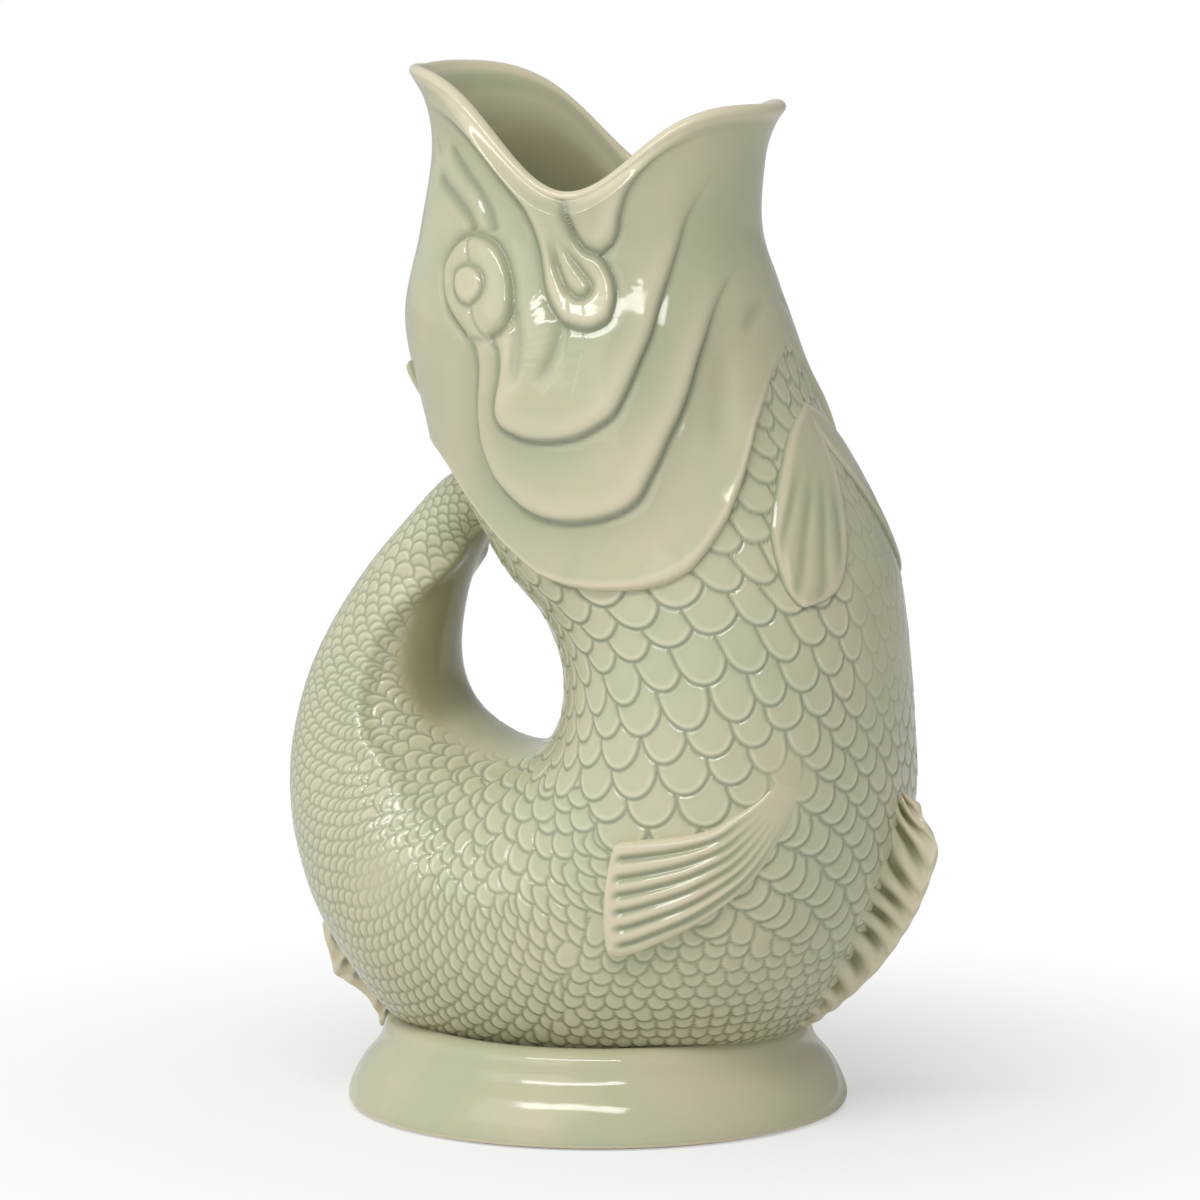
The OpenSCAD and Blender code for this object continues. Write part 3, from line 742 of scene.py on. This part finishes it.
# Lips: the upper one ends in a hanging lobe with a drop cut in it, the lower one in a tongue
UPPER_LIP = [
    (427.7, 105), (441, 113), (457, 126), (473, 142), (488, 159), (500.7, 175), (513, 190.7),
    (524.5, 207), (530, 218), (536, 234), (540.7, 253), (543.4, 271), (545.7, 289.5), (551, 305.6),
    (558, 318), (566, 326), (577, 330), (589, 332), (600, 329), (609.5, 322), (614, 310), (616, 296),
    (614, 282.6), (609.5, 271), (604, 261), (599, 255),
]
LIP_PARTING = [
    (601.7, 256), (589, 252), (580.6, 242), (575, 231), (570, 218), (565, 205.6), (559.6, 198),
]
LOWER_LIP = [
    (613, 246), (618.5, 233.6), (620.5, 219.6), (623.6, 205.6), (628, 191.5), (638, 174.7), (655, 158),
    (674.6, 146.6), (697, 138), (725, 131),
]
LIP_DROP = [
    (545.6, 219.6), (554, 247.7), (559.6, 270), (568, 290), (579, 299.6), (589, 297), (592.7, 288),
    (587.7, 278.5), (576, 262), (566.6, 246), (561, 236),
]
UPPER_LIP_S, LOWER_LIP_S = 0.72, 0.95
lip_back = skin(UPPER_LIP_S, [-20, 0, 15, 30])
upper_lip = np.concatenate([lip_back, traced(UPPER_LIP), traced(LIP_PARTING)])
plate_edge(upper_lip, [(OVER_RIM, 95), (OVER_RIM, -20)], 1.5, 16, 0.12, 0, lip=2.6)
lip_front = skin(LOWER_LIP_S, [160, 172, 200])
lower_lip = np.concatenate([traced(LIP_PARTING[::-1]), traced(LOWER_LIP), lip_front])
plate_edge(lower_lip, [(OVER_RIM, 200), (OVER_RIM, 95)], 1.2, 16, 0, 0.55, lip=2.6)
cut(LIP_DROP, 1.3, 1.0, 0.2, 0.25)
# Brow lines over the eye, the eye's ring and its almond pupil
BROW_LINES = [
    [(449, 142), (456, 158), (467, 175), (477, 189), (485, 203), (491, 217), (495, 233.6)],
    [(437.5, 175), (447, 189), (458.6, 203), (467, 215), (474, 232)],
    [(436, 135), (438, 147), (441, 158)],
]
EYE_RING = [
    (467, 339), (458, 327), (450, 315), (444, 301), (442, 285), (443, 266.6), (449, 251.6), (458, 240),
    (469.5, 234), (483, 235.6), (495, 242.5), (503, 253), (508.5, 266.6), (512, 282.6), (512.7, 298.7),
    (511, 312.5), (506, 324), (498, 333), (488, 339),
]
PUPIL = [
    (470.7, 306.7), (462.6, 303), (457, 294), (455.7, 282.6), (459, 271), (469.5, 265.4), (478.7, 269),
    (484.4, 278), (484.4, 289.5), (479.8, 298.7), (472, 306),
]
EYE_SEAMS = [
    [(470.7, 264), (469.5, 255), (468.4, 246), (470.7, 237)],
    [(472, 308), (475, 321.7), (481, 332), (488, 339)],
]
CHEEK_LINES = [
    [(513.5, 300), (516, 321), (518, 349), (516, 377), (510, 396)],
    [(563, 322), (560, 334), (555.6, 351), (549, 366), (543, 378), (534, 392)],
    [(742, 337), (753, 315), (767, 298)],
]
FLAT_REACH = 40
eye_line, pupil_line = (traced(ring + ring[:1]) for ring in (EYE_RING, PUPIL))
plate_edge(eye_line, [], 1.1, FLAT_REACH, 0, 0, lip=7, stain=0.5, edge_pool_and_shadow=0.35, thin=0.25)
plate_edge(pupil_line, [], 0.45, FLAT_REACH, 0, 0, lip=2, stain=0.4, edge_pool_and_shadow=0.2)
cut(EYE_RING, 0.75, 1.1, 0.02, 0.02)
cut(PUPIL, 0.45, 0.75, 0.0, 0.0)
for line in EYE_SEAMS:
    cut(line, 0.45, 0.6, 0.02, 0.02, 0.6)
for line in BROW_LINES[:2]:
    cut(line, 0.9, 1.7, 0.12, 0.05)
cut(BROW_LINES[2], 0.4, 1.0, 0.3, 0.4, 0.5)
for line in CHEEK_LINES[:2]:
    cut(line, 0.8, 1.7, 0.2, 0.4, 0.6)
cut(CHEEK_LINES[2], 0.4, 2.0, 0.4, 0.5, 0.4)
GILL_CREASE = [(726, 340), (724, 380), (721, 420), (720, 455)]
cut(GILL_CREASE, 0.7, 3.2, 0.3, 0.3, 0.15)

# The mouth's corners flare a little towards the lips
FLARE_RISE, FLARE_TURN, FLARE_WIDE, FLARE_REACH = 2.4, 92, 26, 20
flare = FLARE_RISE * bell(from_rim / FLARE_REACH)
flare = flare * bell((head_turn.ravel() - FLARE_TURN) / FLARE_WIDE)
height = (height + flare) * ramp(0.0, 3.5, from_rim)
# The gill cover's free edge stands off the scales and is rolled under
GILL_RISE, GILL_REACH, GILL_TUCK, GILL_CREST, GILL_CREST_WIDE = 2.0, 9, 0.4, 1.6, 1.5
rolled = rolled_edge(gill_in, GILL_ROLL)
gill_rise = GILL_RISE * (rolled * np.exp(-np.maximum(gill_in - GILL_ROLL, 0) / GILL_REACH))
height += gill_shown * gill_rise - GILL_TUCK * (1 - rolled)
crest = np.maximum(crest, bell((gill_in - GILL_CREST) / GILL_CREST_WIDE) * gill_shown)
crest = np.maximum(crest, ramp(3.0, 0.5, from_rim))
outer = head_base + head_out * height.reshape(head_s.shape)[..., None]
outer = np.stack([outer[..., 0], np.minimum(outer[..., 1], 0), outer[..., 2]], -1)
# The lip is rounded over and goes on as the lining, which shuts below in the bowl
rim, rim_out = head_base[-1], head_out[-1]
rim_up = -skin_ways(rim_s, half_turns)[0]
bow = np.linspace(0, math.pi, LIP_ROWS + 1)[1:, None, None]
lip_round = LIP_THICK / 2
lip = rim - rim_out * lip_round + lip_round * (rim_out * np.cos(bow) + rim_up * np.sin(bow))
LINING_CROWD, LINING_SHADE = 1.25, 0.8
LINE_POOL, LINE_S, LINE_WIDE = 0.55, 0.42, 0.16
lining_share = np.linspace(0, 1, LINING_ROWS + 1)[1:, None] ** LINING_CROWD
lining_s = rim_s + (LINING_END - rim_s) * lining_share
lining_turn = np.broadcast_to(half_turns, lining_s.shape)
thick = LIP_THICK + (WALL_THICK - LIP_THICK) * ramp(0, 1.5, lining_s - rim_s)
lining = over_skin(lining_s, lining_turn, -thick)
half = np.concatenate([outer, lip, lining], 0)
bare = np.zeros((LIP_ROWS + LINING_ROWS, len(half_turns)))
lip_crest = bare.copy()
lip_crest[:LIP_ROWS] = 1
lip_crest[LIP_ROWS:] = ramp(0.5, 0.0, lining_s - rim_s)
inner_line = LINE_POOL * bell((lining_s - rim_s - LINE_S) / LINE_WIDE)
# Painted shade darkens the lining further inside the mouth
inner_shade = LINING_SHADE * ramp(0.1, 1.6, lining_s - rim_s)
head_marks = {
    "pool_and_shade": np.concatenate([pool_and_shade.reshape(head_s.shape), bare[:LIP_ROWS], inner_line], 0),
    "crest": np.concatenate([crest.reshape(head_s.shape), lip_crest], 0),
    "painted_shade": np.concatenate([0 * head_s, bare[:LIP_ROWS], inner_shade], 0),
}
mirror = half[:, -2:0:-1] * (1, -1, 1)
head_points = np.concatenate([half, mirror], 1)
head_marks = {k: np.concatenate([g, g[:, -2:0:-1]], 1) for k, g in head_marks.items()}
head_facing = sheet_normals(head_points, True)
CHEEK_ROWS, LINING_LOW_Z = 150, 120
for name, part in (("cheeks", slice(0, CHEEK_ROWS + 1)), ("mouth", slice(CHEEK_ROWS, None))):
    marks = {k: g[part] for k, g in head_marks.items()}
    piece = glazed_sheet(name, head_points[part], head_facing[part], marks, True)
    if name == "mouth":
        bm = bmesh.new()
        bm.from_mesh(piece.data)
        open_edges = [e for e in bm.edges if e.is_boundary]
        low_edges = [e for e in open_edges if e.verts[0].co.z < LINING_LOW_Z * MM]
        bmesh.ops.edgeloop_fill(bm, edges=low_edges)
        bm.to_mesh(piece.data)
        bm.free()
        covers = "lip_fold"
    else:
        covers = "gill_cover"
    finish_piece(
        piece, "body_shell", f"right_{covers}", f"left_{covers}", "right_eye", "left_eye"
    )

# Side fins: pressed in a sprig mould with seven ribs, and stuck flat on the flanks with slip.
# The end near the tail is thick and free, the root runs out into the trunk.
SIDE_FIN_TOP = [
    (619, 842), (636, 840), (662, 838), (688, 835), (713, 829), (733, 817), (751, 806), (769, 791),
    (779, 778),
]
SIDE_FIN_BOTTOM = [
    (608, 956), (631, 954), (662, 941), (693, 926), (718, 910), (744, 890), (764, 867), (779, 842),
    (792, 819), (802, 793), (807, 778),
]
SIDE_FIN_GROOVES = (0.15, 0.31, 0.45, 0.59, 0.73, 0.87)
SIDE_FIN_THICK, SIDE_FIN_LENGTH, SIDE_FIN_BULGE = 3.4, 48, 1.6
SIDE_FIN_SINK, SIDE_FIN_POOL = 0.45, 0.62


def evenly(line, shares):
    run = run_along(line)
    at = np.asarray(shares) * run[-1]
    return np.stack([np.interp(at, run, line[:, k]) for k in range(3)], -1)


def open_sheet(name, points, marks):
    finish_piece(glazed_sheet(name, points, sheet_normals(points, False), marks, False), name)


def both_sides(name, points, marks):
    for side, flip in (("right", 1), ("left", -1)):
        turned = {k: g[:, ::flip] for k, g in marks.items()}
        open_sheet(f"{side}_{name}", points[:, ::flip] * (1, flip, 1), turned)


across = 0.5 - 0.5 * np.cos(np.linspace(math.pi, 0, 121))[:, None]
along = np.linspace(0, 1, 141) ** 1.3
top_edge, bottom_edge = (evenly(traced(m), along) for m in (SIDE_FIN_TOP, SIDE_FIN_BOTTOM))
fin = top_edge + (bottom_edge - top_edge) * across[..., None]
bulge = SIDE_FIN_BULGE * 4 * across * (1 - across) * (1 - along) ** 6
fin = fin - unit(bottom_edge[20] + top_edge[20] - bottom_edge[0] - top_edge[0]) * bulge[..., None]
breadth = np.linalg.norm(bottom_edge - top_edge, axis=-1)
fin_thick = SIDE_FIN_THICK * (1 - ramp(0.05, 0.92, along)) + 0.95 - 0.55 * ramp(0.8, 1, along)
TOP_ROUND, BOTTOM_ROUND, END_ROUND = 1.4, 3.4, 1.5
fin_height = fin_thick * rolled_edge(across * breadth, TOP_ROUND)
fin_height = fin_height * rolled_edge((1 - across) * breadth, BOTTOM_ROUND)
fin_height = fin_height * rolled_edge(along * SIDE_FIN_LENGTH, END_ROUND)
fin_groove = np.zeros_like(fin_height)
fine_groove = np.minimum(0.9, 0.046 * breadth)
for place in SIDE_FIN_GROOVES:
    fin_groove = np.maximum(fin_groove, bell((across - place) * breadth / fine_groove))
fin_groove = fin_groove * ramp(0.03, 0.08, along) * (1 - ramp(0.5, 0.86, along))
fin_cut = np.minimum(1.15, 0.062 * breadth) * (1 - 0.5 * ramp(0.25, 0.7, along)) * fin_groove
fin_points = over_skin(*skin_places(fin), fin_height - fin_cut - SIDE_FIN_SINK)
fin_crest = (1 - fin_groove) ** 2 * (1 - 0.6 * ramp(0.45, 0.9, along))
both_sides("side_fin", fin_points, {"pool_and_shade": SIDE_FIN_POOL * fin_groove, "crest": fin_crest})

# Throat fins: low leaf-shaped sprigs of the same clay, pressed on under the chin with slip.
# Their ribs fan out downwards, and the glaze pools along their outlines.
THROAT_FIN_INNER = [
    (806, 398), (799, 408), (791, 423), (785, 441), (780, 464), (775, 489), (772, 512), (770, 531),
    (772, 550), (778, 573), (785, 591), (797, 606), (804, 608),
]
THROAT_FIN_OUTER = [
    (806, 398), (816, 417), (824, 437), (832, 456), (838, 475), (842, 497), (846, 522), (847, 550),
    (845, 571), (839, 589), (827, 600), (812, 606), (804, 608),
]
down = np.linspace(0.995, 0.005, 121)[:, None]
over = 0.5 - 0.5 * np.cos(np.linspace(0, math.pi, 81))[None, :]
inner_edge, outer_edge = (
    evenly(traced(m), down[:, 0]) for m in (THROAT_FIN_INNER, THROAT_FIN_OUTER)
)
leaf = inner_edge[:, None] + (outer_edge - inner_edge)[:, None] * over[..., None]
leaf_wide = np.linalg.norm(outer_edge - inner_edge, axis=-1)[:, None]
leaf_in = np.minimum(over, 1 - over) * leaf_wide
THROAT_FIN_LENGTH, LEAF_ROUND, LEAF_SINK = 50, 3.0, 0.3
LEAF_LINE, LEAF_CREST, LEAF_CREST_WIDE = 0.7, 2.0, 1.2
leaf_in = np.minimum(leaf_in, np.minimum(down, 1 - down) * THROAT_FIN_LENGTH)
fan = np.arctan2((over - 0.5) * leaf_wide, 6 + 40 * down) * 40
leaf_rib = (0.5 + 0.5 * np.cos(fan)) * ramp(0.3, 0.6, down) * ramp(0.5, 3.5, leaf_in)
leaf_thick = 0.5 + 1.1 * ramp(0.1, 0.6, down)
ribbed = ramp(0.3, 0.6, down) * ramp(0.5, 3, leaf_in)
leaf_height = leaf_thick * rolled_edge(leaf_in, LEAF_ROUND) - 0.35 * (1 - leaf_rib) * ribbed
leaf_points = over_skin(*skin_places(leaf), leaf_height - LEAF_SINK)
leaf_marks = {
    "pool_and_shade": np.maximum(0.55 * (1 - leaf_rib) ** 2 * ribbed, bell(leaf_in / LEAF_LINE)),
    "crest": bell((leaf_in - LEAF_CREST) / LEAF_CREST_WIDE),
}
both_sides("throat_fin", leaf_points, leaf_marks)

# Belly and rear fins: ruffled keels of clay, modelled by hand and luted on along the middle line.
# Every pleat is cream on its crest; the glaze pools in its fold, and painted shade darkens the fold to
# olive.
BELLY_FIN_ROOT = [
    (899, 783), (894, 811), (889, 844), (879, 867), (864, 888), (848, 913), (830, 939), (815, 964),
    (802, 990), (787, 1013), (782, 1035),
]
BELLY_FIN_EDGE = [
    (916, 788), (923, 816), (934, 836), (938, 852), (932, 875), (919, 908), (903, 936), (883, 964),
    (861, 987), (834, 1010), (816, 1022), (803, 1038),
]
REAR_FIN_EDGE = [
    (326, 916), (323, 926), (325, 937), (330, 950), (332, 963), (337, 975), (352, 984), (365, 995),
    (373, 1004), (378, 1013), (381, 1023), (386, 1031),
]


def middle_line(marks):
    """The line in the jug's middle plane that is seen along these marks."""
    spots = []
    for x, y in smooth_marks(marks):
        ray = sight_line(x, y)
        spots.append(eye - ray * (eye.y / ray.y))
    return np.array(spots)


KEEL_SINK, PLEAT_WIDE, PLEAT_SWELL, BELLY_ROOT_SINK = 0.6, 0.2, 0.35, 0.5


def keel_fin(name, root, edge, waves, lag, depth, half_edge, bow):
    """Rows run up the jug, and columns from the right-hand root over the edge to the left one."""
    rows = len(edge)
    s, _ = skin_places(edge)
    keel, keel_out = skin(s, 180), skin_ways(s, np.full(rows, 180.0))[2]
    u = np.linspace(1, 0, rows)[:, None]
    ends = ramp(0, 0.06, u) * ramp(1, 0.95, u)
    sunk = keel - keel_out * KEEL_SINK
    edge = sunk + (edge - keel_out * half_edge - sunk) * ends
    root = sunk + (root - sunk) * ends
    v = np.linspace(0, 1, 56)[None, :, None]
    lean = keel + (edge - keel) * bow - (0, 1.4 * half_edge, 0) * ends
    side = edge - (0, half_edge, 0) * ends
    face = (1 - v) ** 2 * root[:, None] + 2 * v * (1 - v) * lean[:, None] + v**2 * side[:, None]
    facing = sheet_normals(face, False)
    v = v[..., 0]
    phase = waves * (u - lag(u) * v) + 0.2 * np.sin(14 * u)
    off = np.abs(phase - np.round(phase))
    pleat = bell(off / PLEAT_WIDE)
    room = ramp(0.03, 0.24, v) * (1 - 0.88 * ramp(0.55, 0.95, v)) * ends
    swollen = PLEAT_SWELL * np.cos(2 * math.pi * off) * ramp(0.1, 0.6, v) * ends
    face = face - facing * (depth * (room * pleat + swollen))[..., None]
    turn = np.linspace(0, math.pi, 9)[1:-1]
    out = keel_out[:, None] * ends[:, None]
    tip = face[:, -1:]
    rim = tip * (1, 0, 1) + out * (np.sin(turn)[:, None] * half_edge)
    rim = rim + tip * (0, 1, 0) * np.cos(turn)[:, None]
    points = np.concatenate([face, rim, face[:, ::-1] * (1, -1, 1)], 1)
    cream = np.maximum((1 - pleat) * ramp(0.2, 0.6, v), ramp(0.75, 0.95, v))
    fold = pleat * room
    brow = np.ones((rows, len(turn)))
    marks = {
        "pool_and_shade": np.concatenate([fold, 0 * brow, fold[:, ::-1]], 1),
        "crest": np.concatenate([cream, brow, cream[:, ::-1]], 1),
        # Painted shade in each fold
        "painted_shade": np.concatenate([0.7 * fold, 0 * brow, 0.7 * fold[:, ::-1]], 1),
    }
    open_sheet(name, points, marks)


shares = np.linspace(0.998, 0, 241)
belly_root = evenly(traced(BELLY_FIN_ROOT), shares)
belly_root = belly_root - skin_ways(*skin_places(belly_root))[2] * BELLY_ROOT_SINK
belly_edge = evenly(middle_line(BELLY_FIN_EDGE), shares)
keel_fin(
    "belly_fin", belly_root, belly_edge,
    waves=10.5, lag=lambda u: 0.22 - 0.12 * u, depth=1.3, half_edge=0.9, bow=0.2,
)
rear_edge = evenly(middle_line(REAR_FIN_EDGE), np.linspace(1, 0, 121))
rear_s, _ = skin_places(rear_edge)
REAR_ROOT_TURN = 170
rear_root = skin(rear_s, REAR_ROOT_TURN)
keel_fin(
    "rear_fin", rear_root, rear_edge,
    waves=5.5, lag=lambda u: 0.05, depth=1.3, half_edge=1.4, bow=0.45,
)

# Tail fin: the forked fluke, a thin ribbed fan of clay that runs on from the tail's end.
# It is pressed flat against the back of the head with slip, which strengthens the handle's join.
TAIL_FIN_ROOT, TAIL_FIN_TIP, TAIL_FIN_FORK = 5.9, 4.5, 0.35
fan_u = np.linspace(0, 1, 81)[:, None]
fan_v = np.linspace(-1, 1, 121)[None, :]
fan_s = TAIL_FIN_ROOT + (TAIL_FIN_TIP + TAIL_FIN_FORK * (1 - np.abs(fan_v)) - TAIL_FIN_ROOT) * fan_u
ROOT_TURN, TIP_SPREAD, FAN_RIBS, FAN_ROUND, FAN_SINK = 11, 17, 5.5, 1.6, 0.4
fan_turn = fan_v * (ROOT_TURN + TIP_SPREAD * fan_u)
fan_in = np.minimum((1 - np.abs(fan_v)) * 12, (1 - fan_u) * 30)
fan_rib = np.abs(np.cos(fan_v * FAN_RIBS * math.pi))
fan_height = 0.7 + 1.9 * (1 - np.abs(fan_v)) * (1 - fan_u) + 1.4 * ramp(0.55, 0.95, fan_u)
fan_height = fan_height * rolled_edge(fan_in, FAN_ROUND)
fan_height = fan_height + (0.15 + 0.4 * fan_u) * (fan_rib - 0.6) * ramp(0.2, 1.5, fan_in)
fan_points = over_skin(fan_s, fan_turn, fan_height - FAN_SINK)
fan_marks = {"pool_and_shade": (1 - fan_rib) ** 2, "crest": fan_rib**2 * 0.6}
open_sheet("tail_fin", fan_points, fan_marks)

# Pedestal: a bun-shaped foot with a rounded collar, turned on the wheel and glazed all round.
# The bowl sits in its dished top in a bed of slip, and its underside is hollowed a little.
PEDESTAL_PROFILE = [
    (36, 16.5), (41, 19.6), (44, 20.9), (46.4, 21.2), (48.4, 20.7), (49.8, 19.6), (50.5, 18.2),
    (50.9, 16.8), (51.4, 15.4), (52.3, 13.9), (53.6, 12.4), (55.0, 10.8), (56.2, 9.1), (57.2, 7.3),
    (58.0, 5.6), (58.6, 4.0), (58.95, 2.6), (58.95, 1.4), (58.5, 0.6),
]
PEDESTAL_STEPS = 256
PEDESTAL_UNDER = [(52.5, 0.6), (49.0, 3.2), (30.0, 4.2), (0.0, 4.2)]
bm = bmesh.new()
profile = smooth_marks(PEDESTAL_PROFILE, 5).tolist() + PEDESTAL_UNDER
verts = [bm.verts.new((r * MM, 0, z * MM)) for r, z in profile]
edges = [bm.edges.new(pair) for pair in zip(verts, verts[1:])]
whole_turn = {"axis": (0, 0, 1), "angle": 2 * math.pi, "steps": PEDESTAL_STEPS, "use_merge": True}
bmesh.ops.spin(bm, geom=verts + edges, cent=(0, 0, 0), **whole_turn)
bmesh.ops.remove_doubles(bm, verts=bm.verts, dist=1e-6)
bmesh.ops.holes_fill(bm, edges=[e for e in bm.edges if e.is_boundary], sides=0)
bmesh.ops.recalc_face_normals(bm, faces=bm.faces)
pedestal_mesh = add_mesh("pedestal", bm)
pedestal_mesh.shade_smooth()
# The glaze is wiped thin along the lowest edge
WIPED_Z = 1.3
wiped = pedestal_mesh.attributes.new("crest", "FLOAT", "POINT")
wiped.data.foreach_set("value", [float(v.co.z < WIPED_Z * MM) for v in pedestal_mesh.vertices])
finish_piece(add_object("pedestal", pedestal_mesh), "pedestal")

# Foot ring: the unglazed clay that the jug stood on in the kiln, wiped clean and left rough.
# Its solid has the right shape, and only gets its own matt clay.
bare_clay, tree, clay = add_material("bare_clay")
speckle = mixed(tree, mottle(tree, 400, 4), (0.56, 0.40, 0.31, 1), (0.72, 0.57, 0.47, 1))
feed(tree, clay, {"Base Color": speckle, "Roughness": 0.85, "Specular IOR Level": 0.2})
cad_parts["foot_ring"].material_slots[0].material = bare_clay

# Floor: a sheet of white paper under the jug, which is no part of it.
# It keeps the jug's shadow close by, and fades to plain white further out.
FLOOR_REACH = 12
bm = bmesh.new()
bmesh.ops.create_grid(bm, x_segments=1, y_segments=1, size=FLOOR_REACH)
floor = add_object("floor", add_mesh("floor", bm))
paper, tree, sheet = add_material("white_paper")
feed(tree, sheet, {"Base Color": (0.92, 0.92, 0.92, 1), "Roughness": 0.8, "Specular IOR Level": 0.1})
apart = add_node(tree, "VectorMath", {0: coordinates(tree, "Object")}, operation="LENGTH")
fade = stretched(tree, apart.outputs["Value"], 0.06, 0.24, 0.45, 1, "SMOOTHSTEP")
seen = add_node(tree, "Math", {0: camera_rays(tree), 1: fade}, operation="MULTIPLY")
glow = add_node(tree, "Emission", {"Strength": 1})
show_either(tree, seen.outputs[0], sheet, glow, "Material Output")
floor.data.materials.append(paper)

# Studio light: a wide soft box above, on the camera's side, and a large pale cloth to its left.
# They stand in a white room that is darker towards the jug's front.
LAMP_AIM = (0, 0, 0.11)


def soft_box(name, place, wide, high, power):
    lamp = bpy.data.lights.new(name, "AREA")
    lamp.shape = "RECTANGLE"
    lamp.size, lamp.size_y = wide, high
    lamp.energy = power
    box = add_object(name, lamp)
    box.location = place
    box.rotation_euler = (Vector(LAMP_AIM) - Vector(place)).to_track_quat("-Z", "Y").to_euler()


soft_box("lamp_box", (0.1, -0.97, 1.355), wide=1.25, high=0.24, power=10.5)
soft_box("lamp_cloth", (-0.4, -1.1, 1.0), wide=1.2, high=0.75, power=3)
world = bpy.data.worlds.new("studio")
bpy.context.scene.world = world
world.use_nodes = True
tree = world.node_tree
front = (math.cos(CAMERA_TURN), math.sin(CAMERA_TURN), 0)
way = {0: coordinates(tree, "Generated"), 1: front}
towards = add_node(tree, "VectorMath", way, operation="DOT_PRODUCT").outputs["Value"]
dim = stretched(tree, towards, -0.9, 0.7, 0.74, 0.34, "SMOOTHSTEP")
room = feed(tree, tree.nodes["Background"], {"Color": (1, 1, 1, 1), "Strength": dim})
white = add_node(tree, "Background", {"Strength": 1})
show_either(tree, camera_rays(tree), room, white, "World Output")
bpy.context.scene.view_settings.view_transform = "Standard"
